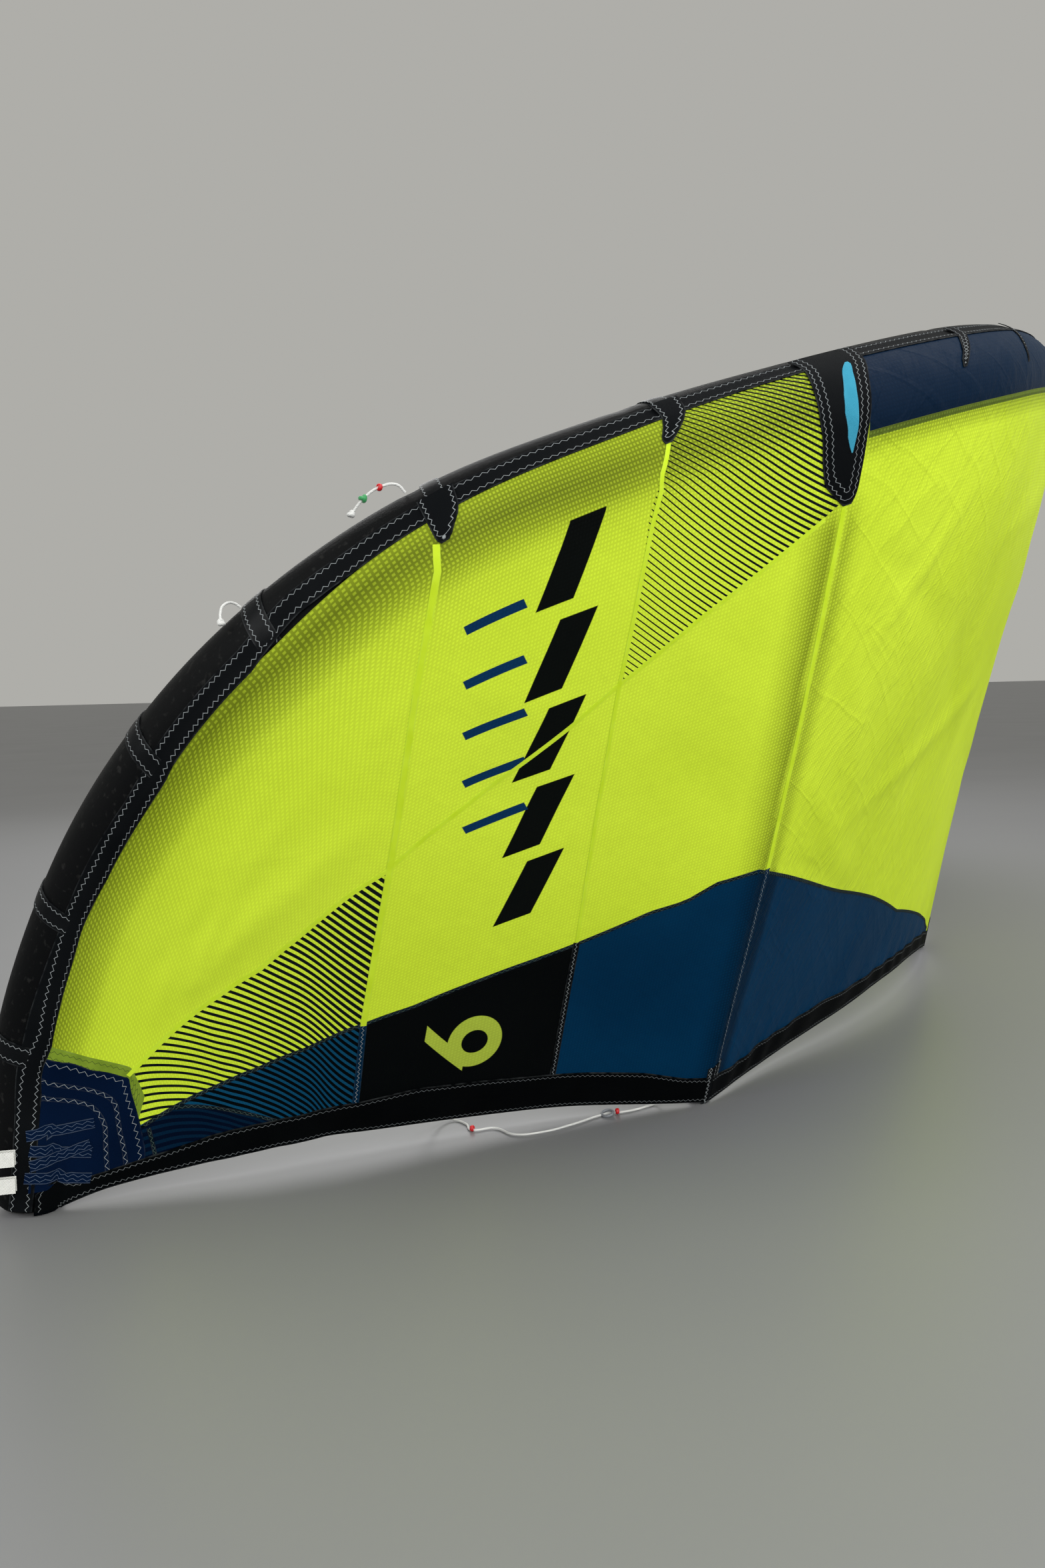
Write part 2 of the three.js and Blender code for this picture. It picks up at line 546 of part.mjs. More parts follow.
// Bridle line: down the inner side of the cloth, over the floor under the hem, and up beside the strut.
// On the cloth a point is a station, an arc and a lift; on the floor it is x, y and z.
const BRIDLE_DOWN = [
  [2802, 300, -16], [2798, 470, -15], [2790, 640, -15], [2770, 800, -15], [2740, 960, -15], [2700, 1090, -16],
];
const BRIDLE_FLOOR = [
  [1790, 1245, 22], [1745, 1226, 5], [1762, 1190, 3], [1793, 1168, 3], [1776, 1130, 3], [1803, 1082, 3],
  [1783, 1035, 3], [1732, 988, 3], [1667, 938, 3], [1643, 898, 3], [1612, 868, 3], [1592, 850, 7],
];
const BRIDLE_UP = [
  [2250, 1350, -15], [2255, 1210, -16], [2262, 1060, -16], [2268, 880, -16], [2270, 700, -16], [2268, 520, -16],
  [2262, 340, -17],
];
function buildLines() {
  const onCloth = ([station, arc, lift]) => skin(station, arc, lift);
  const tubeSide = (station, angle, lift) => {
    const s = sectionAt(station);
    return s.axis.clone().addScaledVector(s.radial(THREE.MathUtils.degToRad(angle)), s.radius + lift);
  };
  const bridle = [
    tubeSide(2800, -118, 3), tubeSide(2800, -112, 24), ...BRIDLE_DOWN.map(onCloth),
    ...BRIDLE_FLOOR.map((p) => new THREE.Vector3(...p)),
    ...BRIDLE_UP.map(onCloth), tubeSide(2255, -112, 24), tubeSide(2255, -118, 3),
  ];
  placePair('bridle', lineBody(bridle, 80), GREY_LINE);
  const outer = [tubeSide(3080, 102, 3), tubeSide(3083, 100, 14), tubeSide(3090, 91, 21), tubeSide(3096, 80, 19),
    tubeSide(3100, 71, 14)];
  placePair('pigtail_outer', lineBody(outer, 8), GREY_LINE);
  const inner = [tubeSide(2795, 100, 3), tubeSide(2800, 100, 18), tubeSide(2822, 98, 27), tubeSide(2848, 95, 25),
    tubeSide(2872, 92, 16)];
  placePair('pigtail_inner', lineBody(inner, 10), GREY_LINE);
}

buildTube();
buildCanopy();
buildEdgeStrips();
buildStruts();
buildPatches();
buildTapes();
buildStraps();
buildLoops();
buildLines();

export default kite;
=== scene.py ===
# Inflated three-strut kitesurfing kite of nine square metres, standing on its wing tips and strut ends.
import math

import bmesh
import bpy
import numpy as np
from mathutils import Matrix, Vector
from mathutils.geometry import interpolate_bezier


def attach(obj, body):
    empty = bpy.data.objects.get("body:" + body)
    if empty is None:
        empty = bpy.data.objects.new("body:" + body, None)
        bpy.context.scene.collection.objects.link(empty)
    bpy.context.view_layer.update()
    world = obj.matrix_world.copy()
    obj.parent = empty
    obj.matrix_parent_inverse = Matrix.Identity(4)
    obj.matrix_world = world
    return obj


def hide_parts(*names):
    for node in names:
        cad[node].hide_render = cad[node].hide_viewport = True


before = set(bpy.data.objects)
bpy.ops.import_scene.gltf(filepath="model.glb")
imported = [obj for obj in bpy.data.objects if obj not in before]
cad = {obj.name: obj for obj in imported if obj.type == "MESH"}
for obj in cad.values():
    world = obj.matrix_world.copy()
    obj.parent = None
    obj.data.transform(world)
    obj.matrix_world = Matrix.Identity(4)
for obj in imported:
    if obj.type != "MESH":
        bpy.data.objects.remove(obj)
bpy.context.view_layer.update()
bpy.ops.object.select_all(action="DESELECT")
scene = bpy.context.scene
scene.view_settings.view_transform = "Standard"


# Camera
def set_camera():
    pitch, roll = math.radians(4.32), 0.026
    ahead_x, ahead_y = 0.9734, 0.2290
    ahead = Vector((ahead_x * math.cos(pitch), ahead_y * math.cos(pitch), -math.sin(pitch)))
    right = Vector((ahead_y, -ahead_x, 0))
    up = Vector((ahead_x * math.sin(pitch), ahead_y * math.sin(pitch), math.cos(pitch)))
    held = math.sqrt(1 - roll * roll)
    right, up = held * right - roll * up, roll * right + held * up
    lens = bpy.data.cameras.new("camera")
    lens.sensor_fit, lens.sensor_width, lens.sensor_height = "VERTICAL", 36, 36
    lens.lens, lens.shift_x = 29.25, -0.0221
    camera = bpy.data.objects.new("camera", lens)
    scene.collection.objects.link(camera)
    turn = Matrix((right, up, -ahead)).transposed().to_4x4()
    camera.matrix_world = Matrix.Translation((-4.023, -0.427, 0.825)) @ turn
    scene.camera = camera


# Form of the kite
# One half of the kite in millimetres: x out from the middle, y back, z up.
MM = 0.001
MIDDLE_Y = 889.6
HALF_SPAN = 4192.0
CLOTH_END = 4186.0
SIDE_STRUT, INNER_SEAM, OUTER_SEAM = 2150.0, 2475.0, 2788.0
SIDES = {"right": 1, "left": -1}
# station, tube axis x y z, tube radius, cloth seam angle, camber, trailing edge x y z
ROWS = np.array([
    (0, 0, 51, 1525, 105, 70, 10, 0, 264, 4),
    (440, 437, 62, 1511, 105, 70, 10, 330, 298, 60),
    (870, 850, 105, 1474, 104, 70, 10, 690, 382, 75),
    (1307, 1262, 182, 1415, 103, 70, 10, 1010, 506, 55),
    (1730, 1648, 302, 1331, 101, 70, 10, 1330, 662, 20),
    (2150, 1967, 534, 1223, 98, 69, 10, 1568, 755, 4),
    (2475, 2151, 775, 1131, 95, 62, 10, 1718, 1042, 28),
    (2788, 2261, 1040, 1027, 90, 45, 9, 1948, 1343, 45),
    (3060, 2293, 1263, 894, 86, 20, 8, 2000, 1410, 44),
    (3337, 2281, 1467, 726, 80, 2, 6, 2052, 1472, 41),
    (3673, 2248, 1664, 478, 72, -13, 4, 2112, 1560, 33),
    (3927, 2242, 1764, 250, 64, -15, 2, 2190, 1665, 21),
    (4192, 2243, 1790, 0, 54, -15, 0, 2250, 1731, 4),
], float)
CORNER_ROW = 5
TIP_AIM = (2100.0, 1500.0, 0.0)


def column(values, corner=None, flat=False):
    """Smooth curve through one column of the rows, which may turn a corner at one row."""
    x, y = ROWS[:, 0], np.asarray(values, float)
    slope = np.diff(y) / np.diff(x)
    steps = np.diff(x)
    tangent = np.empty(len(x))
    tangent[1:-1] = (slope[:-1] * steps[1:] + slope[1:] * steps[:-1]) / (steps[1:] + steps[:-1])
    tangent[0], tangent[-1] = (0.0 if flat else slope[0]), slope[-1]
    before, after = tangent.copy(), tangent.copy()
    if corner is not None:
        before[corner], after[corner] = slope[corner - 1], slope[corner]

    def read(station):
        i = np.clip(np.searchsorted(x, station, side="right") - 1, 0, len(x) - 2)
        h = x[i + 1] - x[i]
        u = (station - x[i]) / h
        return ((2 * u**3 - 3 * u * u + 1) * y[i] + (u**3 - 2 * u * u + u) * h * after[i]
                + (3 * u * u - 2 * u**3) * y[i + 1] + (u**3 - u * u) * h * before[i + 1])
    return read


AIM_ROWS = ROWS[:, 7:10].copy()
AIM_ROWS[-1] = TIP_AIM
AXIS = [column(ROWS[:, 1 + k], flat=k > 0) for k in range(3)]
EDGE = [column(ROWS[:, 7 + k], CORNER_ROW) for k in range(3)]
AIM = [column(AIM_ROWS[:, k], CORNER_ROW) for k in range(3)]
RADIUS = column(ROWS[:, 4], flat=True)
SEAM_ANGLE = column(ROWS[:, 5], flat=True)
CAMBER = column(ROWS[:, 6], flat=True)


def unit(v):
    return v / np.linalg.norm(v, axis=-1, keepdims=True)


def vector(columns, station):
    return np.stack([c(station) for c in columns], axis=-1)


class Section:
    """Cut through tube and cloth at each station."""

    def __init__(self, station):
        s = np.asarray(station, float)
        self.axis, self.edge = vector(AXIS, s), vector(EDGE, s)
        self.along = unit(vector(AXIS, np.minimum(s + 2, HALF_SPAN)) - vector(AXIS, np.maximum(s - 2, 0)))
        self.along[s < 1] = (1, 0, 0)
        chord = vector(AIM, s) - self.axis
        self.chord = unit(chord - self.along * (chord * self.along).sum(-1, keepdims=True))
        self.out = unit(np.cross(self.chord, self.along))
        self.radius = RADIUS(s)
        self.cloth = self.radius + 3
        reach = np.maximum(((self.edge - self.axis) * self.chord).sum(-1), self.cloth * 1.3)
        self.leave = np.radians(CAMBER(s)) - np.arcsin(self.cloth / reach)
        self.seam = np.maximum(np.radians(SEAM_ANGLE(s)), self.leave + 0.05)
        self.wrap = (self.seam - self.leave) * self.cloth
        lean = self.radial(self.leave)
        self.start = self.axis + lean * self.cloth[..., None]
        self.span = self.edge - self.start
        self.length = np.linalg.norm(self.span, axis=-1)
        self.rise = -(self.span * lean).sum(-1) / (self.out * lean).sum(-1)

    def radial(self, angle):
        angle = np.asarray(angle)
        return self.out * np.cos(angle)[..., None] - self.chord * np.sin(angle)[..., None]

    def free(self, share):
        return (self.start + self.span * share[..., None]
                + self.out * (self.rise * share * (1 - share)**4)[..., None])


def free_point(station, share):
    return Section(station).free(np.asarray(share, float))


def free_normal(station, share):
    s = np.asarray(station, float)
    low, high = np.maximum(s - 3, 0), np.minimum(s + 3, CLOTH_END)
    here = Section(s)
    down = here.free(np.minimum(share + 0.01, 1)) - here.free(np.maximum(share - 0.01, 0))
    normal = np.cross(down, free_point(high, share) - free_point(low, share))
    normal[s < 5, 0] = 0
    return unit(normal)


def skin(station, arc, lift=0.0):
    """Point on the cloth, arc millimetres from its sewn leading edge; below 0 it lies on the tube."""
    s, arc, lift = np.broadcast_arrays(*(np.asarray(v, float) for v in (station, arc, lift)))
    here = Section(s)
    on_tube = here.axis + here.radial(here.seam - arc / here.cloth) * (here.cloth + lift)[..., None]
    share = np.maximum((arc - here.wrap) / here.length, 0)
    off_tube = here.free(share) + free_normal(s, share) * lift[..., None]
    return np.where((arc <= here.wrap)[..., None], on_tube, off_tube)


def whole_arc(station):
    here = Section(station)
    return here.wrap + here.length


def tube_point(station, degrees, lift=0.0):
    here = Section(station)
    return here.axis + here.radial(np.radians(degrees)) * (here.radius + lift)[..., None]


# Lines drawn on the cloth
def table(*pairs):
    rows = np.array(sorted(pairs), float)
    return lambda at: np.interp(at, rows[:, 0], rows[:, 1])


# Where the dark lower zone begins, as a share of the free cloth, by station
HEM_TOP = table((3764, .733), (3642, .736), (3458, .754), (3257, .766), (3064, .768), (2909, .768),
                (2804, .76), (2715, .744), (2657, .723), (2577, .695), (2485, .668), (2410, .647),
                (2352, .63), (2289, .621), (2233, .597), (2150, .588), (1608, .723), (1036, .858),
                (321, .955), (0, .985))
DIAGONAL = table((2150, .08), (2188, .097), (2273, .131), (2391, .181), (2497, .242), (2597, .317),
                 (2690, .384), (2809, .465), (2980, .5), (3180, .541), (3440, .532), (3640, .523),
                 (3715, .52))
CORNER_TOP = table((3635, .75), (3458, .834), (3346, .881), (3224, .924), (3083, .956), (2939, .98),
                   (2831, .992))
BAND_TOP = table((0, 50), (835, 50), (1227, 54), (1500, 70), (1791, 70), (1918, 56), (2100, 59),
                 (2206, 63), (2289, 79), (2411, 87), (2570, 89), (2673, 91), (2792, 71), (3224, 61),
                 (3520, 57), (3611, 51), (3815, 38), (3926, 34), (4070, 33), (4115, 42),
                 (4150, 70), (4186, 90))
FLAP_EDGE = table((0, 2), (2790, 2), (2900, 0), (3000, -10), (3055, -4), (3100, 4), (3200, 5), (3300, 6),
                  (3320, 9), (3430, 17), (3520, 22), (3633, 15), (3660, 16), (3750, 22), (3850, 30),
                  (3900, 19), (4146, 0), (4186, -4))
STRUT_LINE = table((225, 2151), (345, 2152), (512, 2144), (687, 2129), (890, 2116), (1057, 2116),
                   (1256, 2123), (1349, 2122), (1450, 2124))
INNER_LINE = table((30, 2447), (41, 2451), (63, 2465), (80, 2477), (141, 2488), (216, 2493), (391, 2497),
                   (653, 2489), (905, 2479), (1064, 2477), (1330, 2475))
OUTER_LINE = table((30, 2788), (67, 2806), (244, 2811), (495, 2805), (880, 2806), (1022, 2796),
                   (1141, 2789), (1160, 2788))

# Long folds in the cloth: from station, arc to station, arc; width and height in millimetres
FOLDS = [
    (3438, 319, 2803, 458, 34, 4.5), (3438, 319, 3005, 262, 28, 4.0), (3365, 311, 3048, 173, 24, 3.0),
    (3598, 269, 3192, 200, 22, 2.6), (3660, 240, 2960, 560, 38, -3.5), (3560, 190, 3100, 330, 26, -2.5),
    (2878, 289, 2787, 229, 16, 1.5), (2762, 250, 2520, 470, 30, 2.2), (2740, 420, 2510, 640, 34, -2.0),
    (2685, 132, 2567, 105, 10, 1.2), (2440, 300, 2180, 640, 36, 2.2), (2420, 520, 2170, 820, 34, -2.0),
    (2062, 346, 1895, 217, 14, 3.0), (1986, 544, 1734, 241, 20, 4.5), (1821, 941, 828, 764, 34, 5.0),
    (1991, 422, 1818, 416, 14, 2.2), (2080, 300, 1560, 620, 26, -3.5), (2100, 420, 1700, 980, 30, 3.6),
    (2105, 700, 1500, 1230, 34, 4.0), (2050, 900, 1350, 1300, 26, -3.2), (1500, 420, 700, 330, 40, 3.2),
    (1650, 500, 900, 1050, 38, -3.0), (900, 400, 120, 720, 44, 3.0), (760, 980, 60, 1180, 44, -2.6),
]
LOW_FOLDS = [(70, 1.6, 16), (150, -1.4, 18), (262, 1.8, 20), (390, -1.2, 18), (540, 1.6, 24), (700, 1.2, 20),
             (905, -1.3, 24), (1120, 1.5, 22), (1330, 1.3, 20), (1530, -1.2, 18), (1700, 1.6, 18),
             (1850, 1.2, 14), (1960, 1.6, 14), (2050, -1.4, 12)]


def folds(station, arc):
    """How far the cloth stands off its fair shape, in millimetres."""
    s, arc = np.broadcast_arrays(np.asarray(station, float), np.asarray(arc, float))
    rest = whole_arc(s) - arc
    height = np.zeros(s.shape)
    for s0, arc0, s1, arc1, width, high in FOLDS:
        run, fall = s1 - s0, arc1 - arc0
        size = math.hypot(run, fall)
        t = ((s - s0) * run + (arc - arc0) * fall) / size**2
        aside = ((s - s0) * fall - (arc - arc0) * run) / size
        fade = np.clip(1 - np.abs(2 * t - 1)**2.5, 0, 1)
        height += high * fade * np.exp(-(aside / (width * (0.6 + 0.8 * np.clip(t, 0, 1))))**2)
    for s0, high, width in LOW_FOLDS:
        height += high * np.exp(-((s - s0) / width)**2) * np.clip(1 - np.abs(arc - 60) / 70, 0, 1)
    billow = (np.sin(s / 97 + arc / 210) * np.sin(arc / 131 - s / 350)
              + 0.6 * np.sin(s / 53 - arc / 160 + 1.3) * np.sin(arc / 83 + 0.4))
    height += 1.1 * billow
    height += 0.7 * np.sin(s / 11.5 + 1.7 * np.sin(s / 61)) * np.exp(-np.clip(arc, 0, None) / 45)
    ripple = np.where(s < SIDE_STRUT, 3.4, 1.1) * np.sin(s / 23 + 1.9 * np.sin(s / 140))
    height += ripple * np.exp(-rest / 85) * np.clip(rest / 30, 0, 1)
    calm = (1 - np.exp(-((s - SIDE_STRUT) / 42)**2)) * (1 - np.exp(-(s / 42)**2))
    return height * calm * np.clip((arc - 4) / 30, 0, 1) * np.clip((4120 - s) / 300, 0, 1)


def on_cloth(station, arc, lift=0.0):
    return skin(station, arc, lift + folds(station, arc))


# Sewing meshes
def place(points, side):
    """Half-kite millimetres to metres in the frame."""
    metres = np.asarray(points, float) * MM
    return (metres - (0, MIDDLE_Y * MM, 0)) * (side, 1, 1)


def select_only(piece):
    bpy.ops.object.select_all(action="DESELECT")
    piece.select_set(True)
    bpy.context.view_layer.objects.active = piece


def apply(piece, kind, **settings):
    select_only(piece)
    modifier = piece.modifiers.new(kind.lower(), kind)
    for key, value in settings.items():
        setattr(modifier, key, value)
    bpy.ops.object.modifier_apply(modifier=modifier.name)


def finish_piece(piece, material, replaces=(), smooth_by=None):
    select_only(piece)
    if smooth_by is None:
        bpy.ops.object.shade_smooth()
    else:
        bpy.ops.object.shade_smooth_by_angle(angle=math.radians(smooth_by))
    piece.data.materials.clear()
    piece.data.materials.append(material)
    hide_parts(*replaces)
    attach(piece, "root")
    bpy.ops.object.select_all(action="DESELECT")
    return piece


class Weave:
    """A grid of points with what the material needs at each point."""

    def __init__(self, points, marks, closed=False):
        self.points, self.marks, self.closed = points, marks, closed


def sew(name, weaves, thickness=0.0, turned=False):
    """Joins weaves into one mesh; open ones get their thickness inwards, closed ones get end caps."""
    corners, faces, marks = [], [], {}
    first = 0
    for weave in weaves:
        rows, cols = weave.points.shape[:2]
        last = cols if weave.closed else cols - 1
        i, j = np.meshgrid(np.arange(rows - 1), np.arange(last), indexing="ij")
        i, j = i.ravel(), j.ravel()
        k = (j + 1) % cols
        quads = first + np.stack([i * cols + j, i * cols + k, (i + 1) * cols + k, (i + 1) * cols + j], 1)
        corners.append(weave.points.reshape(-1, 3))
        faces += quads.tolist()
        if weave.closed:
            faces.append(list(range(first + cols - 1, first - 1, -1)))
            faces.append(list(range(first + (rows - 1) * cols, first + rows * cols)))
        for key, values in weave.marks.items():
            marks.setdefault(key, []).append(np.asarray(values, float).reshape(-1, 3))
        first += rows * cols
    if turned:
        faces = [face[::-1] for face in faces]
    mesh = bpy.data.meshes.new(name)
    mesh.from_pydata(np.concatenate(corners).tolist(), [], faces)
    for key, values in marks.items():
        layer = mesh.attributes.new(key, "FLOAT_VECTOR", "POINT")
        layer.data.foreach_set("vector", np.concatenate(values).ravel())
    if weaves[0].closed:
        work = bmesh.new()
        work.from_mesh(mesh)
        if work.calc_volume(signed=True) < 0:
            bmesh.ops.reverse_faces(work, faces=work.faces)
        work.to_mesh(mesh)
        work.free()
    piece = bpy.data.objects.new(name, mesh)
    scene.collection.objects.link(piece)
    if thickness:
        apply(piece, "SOLIDIFY", thickness=thickness, offset=-1)
    return piece


def spaced(points):
    """Distance run along a row of points."""
    return np.concatenate([[0], np.cumsum(np.linalg.norm(np.diff(points, axis=0), axis=1))])


def strip(line, half_width, lift, side, columns=3, step=12.0):
    """Band along a line of (station, arc) on the cloth.

    Its marks are the run, the distance across and the distance from the edge.
    """
    line = np.array(line, float)
    rough = on_cloth(line[:, 0], line[:, 1])
    at = spaced(rough)
    count = max(2, int(at[-1] / step) + 1)
    run = np.linspace(0, at[-1], count)
    s, arc = np.interp(run, at, line[:, 0]), np.interp(run, at, line[:, 1])
    middle = on_cloth(s, arc)
    # how the point moves for one millimetre more of station, and of arc
    after = np.minimum(s + 1, CLOTH_END)
    by_station = on_cloth(after, arc) - on_cloth(after - 1, arc)
    by_arc = on_cloth(s, arc + 1) - middle
    forward = unit(np.gradient(middle, axis=0))
    normal = unit(np.cross(by_arc, by_station))
    aside = unit(np.cross(forward, normal))
    share = np.linspace(-1, 1, columns)
    half = np.broadcast_to(np.asarray(half_width, float), run.shape)
    rows = []
    for c in share:
        off = aside * (half * c)[:, None]
        # steps along station and arc that give the sideways offset
        long, skew, deep = (by_station**2).sum(-1), (by_station * by_arc).sum(-1), (by_arc**2).sum(-1)
        want_long, want_deep = (off * by_station).sum(-1), (off * by_arc).sum(-1)
        scale = long * deep - skew**2
        aside_s = np.clip(s + (want_long * deep - want_deep * skew) / scale, 0, CLOTH_END)
        aside_arc = np.minimum(arc + (want_deep * long - want_long * skew) / scale, whole_arc(aside_s) - 0.5)
        rows.append(on_cloth(aside_s, aside_arc, lift))
    points = np.stack(rows, 1)
    across = half[:, None] * share[None, :] * MM
    marks = np.stack([np.broadcast_to(run[:, None] * MM, across.shape), across,
                      half[:, None] * MM - np.abs(across)], -1)
    if (np.cross(points[1, 0] - points[0, 0], points[0, -1] - points[0, 0]) * normal[0]).sum() > 0:
        points, marks = points[:, ::-1], marks[:, ::-1]
    return Weave(place(points, side), {"sewn": marks})


def patch(rows, lift, side, step=9.0):
    """Patch between two outlines, given as rows of arc, station from and station to."""
    rows = np.array(rows, float)
    arcs = np.linspace(rows[0, 0], rows[-1, 0], max(3, int((rows[-1, 0] - rows[0, 0]) / step) + 1))
    low, high = np.interp(arcs, rows[:, 0], rows[:, 1]), np.interp(arcs, rows[:, 0], rows[:, 2])
    columns = max(4, int(np.max(high - low) / step) + 1)
    t = np.linspace(0, 1, columns)
    s = low[:, None] + (high - low)[:, None] * t
    arc = np.broadcast_to(arcs[:, None], s.shape)
    points = mirrored_cloth(s, arc, lift)
    marks = outline_marks(points)
    return Weave(place(points, side).transpose(1, 0, 2), {"sewn": marks.transpose(1, 0, 2)})


def mirrored_cloth(s, arc, lift):
    """Points on the cloth where a station below 0 lies on the other half."""
    points = on_cloth(np.abs(s), arc, lift)
    points[..., 0] *= np.where(s < 0, -1, 1)
    return points


def outline_marks(points):
    """Run down the middle, run across it, and distance from the outline, in metres."""
    rows, columns = points.shape[:2]
    middle = points[:, columns // 2]
    run = np.broadcast_to(spaced(middle)[:, None], (rows, columns))
    across = np.stack([spaced(row) for row in points])
    across = across - across[:, -1:] / 2
    rim = []
    for line in (points[:, 0], points[:, -1], points[-1]):
        rim += [line[:-1] + (line[1:] - line[:-1]) * t for t in (0, .25, .5, .75)] + [line[-1:]]
    rim = np.concatenate(rim)
    edge = np.min(np.linalg.norm(points.reshape(-1, 1, 3) - rim[None], axis=2), axis=1).reshape(rows, columns)
    return np.stack([run, across, edge], -1) * MM


# Finishes
def paint(red, green, blue):
    """Colour given as seen on a screen, 0 to 255."""
    def linear(c):
        c /= 255
        return c / 12.92 if c <= 0.04045 else ((c + 0.055) / 1.055)**2.4
    return (linear(red), linear(green), linear(blue), 1.0)


class Amount:
    """A number, colour or vector that varies over a surface; working with it adds the nodes."""

    def __init__(self, finish, socket):
        self.finish, self.socket = finish, socket

    def maths(self, operation, *values, clamp=False):
        settings = {"operation": operation, "use_clamp": clamp}
        return self.finish.node("ShaderNodeMath", settings, dict(enumerate(values)))

    def __add__(self, other):
        return self.maths("ADD", self, other)

    def __sub__(self, other):
        return self.maths("SUBTRACT", self, other)

    def __rsub__(self, other):
        return self.maths("SUBTRACT", other, self)

    def __mul__(self, other):
        return self.maths("MULTIPLY", self, other)

    def __truediv__(self, other):
        return self.maths("DIVIDE", self, other)

    def __abs__(self):
        return self.maths("ABSOLUTE", self)

    __radd__ = __add__
    __rmul__ = __mul__

    def fraction(self):
        return self.maths("FRACT", self)

    def sine(self):
        return self.maths("SINE", self)

    def most(self, other):
        return self.maths("MAXIMUM", self, other)

    def above(self, limit, soft=0.001):
        """1 past the limit and 0 before it, with a soft step."""
        return self.maths("MULTIPLY_ADD", self - limit, 1 / soft, 0.5, clamp=True)

    def below(self, limit, soft=0.001):
        return 1 - self.above(limit, soft)

    def between(self, low, high, soft=0.001):
        return self.above(low, soft) * self.below(high, soft)


class Finish:
    """A material whose nodes are made one by one."""

    def __init__(self, name, **constants):
        self.material = bpy.data.materials.new(name)
        self.material.use_nodes = True
        self.tree = self.material.node_tree
        self.shader = self.tree.nodes["Principled BSDF"]
        for socket, value in constants.items():
            self.shader.inputs[socket.replace("_", " ")].default_value = value

    def node(self, kind, settings=None, sockets=None, output=0):
        made = self.tree.nodes.new(kind)
        for key, value in (settings or {}).items():
            setattr(made, key, value)
        for key, value in (sockets or {}).items():
            if isinstance(value, Amount):
                self.tree.links.new(value.socket, made.inputs[key])
            else:
                made.inputs[key].default_value = value
        return Amount(self, made.outputs[output])

    def parts(self, vector):
        split = self.node("ShaderNodeSeparateXYZ", {}, {0: vector})
        return [Amount(self, split.socket.node.outputs[k]) for k in range(3)]

    def mark(self, name):
        return self.node("ShaderNodeAttribute", {"attribute_name": name}, output="Vector")

    def inside(self):
        return self.node("ShaderNodeTexCoord", {}, output="Object")

    def joined(self, x=0.0, y=0.0, z=0.0):
        return self.node("ShaderNodeCombineXYZ", {}, {0: x, 1: y, 2: z})

    def noise(self, vector, scale, detail=2.0, roughness=0.5):
        sockets = {"Vector": vector, "Scale": scale, "Detail": detail, "Roughness": roughness}
        return self.node("ShaderNodeTexNoise", {}, sockets)

    def mix(self, share, first, second):
        settings = {"data_type": "RGBA", "clamp_factor": True}
        return self.node("ShaderNodeMix", settings, {0: share, 6: first, 7: second}, output=2)

    def shaded(self, colour, amount):
        """The colour multiplied by a number that varies."""
        grey = self.node("ShaderNodeCombineXYZ", {}, {0: amount, 1: amount, 2: amount})
        return self.node("ShaderNodeVectorMath", {"operation": "MULTIPLY"}, {0: colour, 1: grey})

    def bump(self, height, strength=0.3, distance=0.001, below=None):
        sockets = {"Strength": strength, "Distance": distance, "Height": height}
        if below is not None:
            sockets["Normal"] = below
        return self.node("ShaderNodeBump", {}, sockets)

    def put(self, socket, value):
        if isinstance(value, Amount):
            self.tree.links.new(value.socket, self.shader.inputs[socket])
        else:
            self.shader.inputs[socket].default_value = value
        return self


def zigzag(run, across, centre, swing=0.0020, pitch=0.0100, thread=0.0005):
    """Zigzag stitching along a line; 1 on the thread."""
    corner = abs((run / pitch).fraction() - 0.5) * 4 - 1
    return abs(across - centre - corner * swing).below(thread, 0.0004)


def bars(value, period, share, soft=0.03):
    """Parallel bars; share is the part of the period that is covered."""
    return abs((value / period).fraction() - 0.5).below(share / 2, soft)


THREAD = paint(150, 156, 158)


def weave_bump(finish, u, v, pitch, strength, below=None):
    tight = (u * (2 * math.pi / pitch)).sine() * (v * (2 * math.pi / pitch)).sine()
    return finish.bump(tight, strength, 0.0004, below)


def stitched(name, colour, other, rows, roughness=0.55, thread=THREAD, on_edge=(), coat=0.0,
             weave=0.0022, tone=9.0, swing=0.0020, pitch=0.0100, straight=()):
    """Woven cloth with zigzag rows at distances across, or at distances from its edge."""
    finish = Finish(name, Specular_IOR_Level=0.02, Coat_Roughness=0.3)
    run, across, edge = finish.parts(finish.mark("sewn"))
    where = finish.inside()
    cloud = finish.noise(where, tone, 3)
    base = finish.mix(cloud.above(0.5, 0.5), colour, other)
    worn = finish.noise(where, 60, 2)
    base = finish.mix(edge.below(0.0015, 0.002) * worn.above(0.5, 0.3) * 0.07, base, THREAD)
    threads = [zigzag(run, across, centre, swing, pitch) for centre in rows]
    threads += [zigzag(run, edge, centre, swing, pitch) for centre in on_edge]
    threads += [abs(edge - centre).below(0.0005, 0.0004) * 0.6 for centre in straight]
    normal = weave_bump(finish, run, across, weave, 0.25)
    crease = finish.noise(where, 38, 4)
    normal = finish.bump(crease, 0.25, 0.002, normal)
    if threads:
        stitches = threads[0]
        for line in threads[1:]:
            stitches = stitches.most(line)
        base = finish.mix(stitches * 0.8, base, thread)
        normal = finish.bump(stitches, 0.5, 0.0006, normal)
    finish.put("Base Color", base).put("Normal", normal)
    finish.put("Roughness", cloud * 0.12 + (roughness - 0.06))
    if coat:
        finish.put("Coat Weight", worn * 0.1 + coat)
    return finish.material


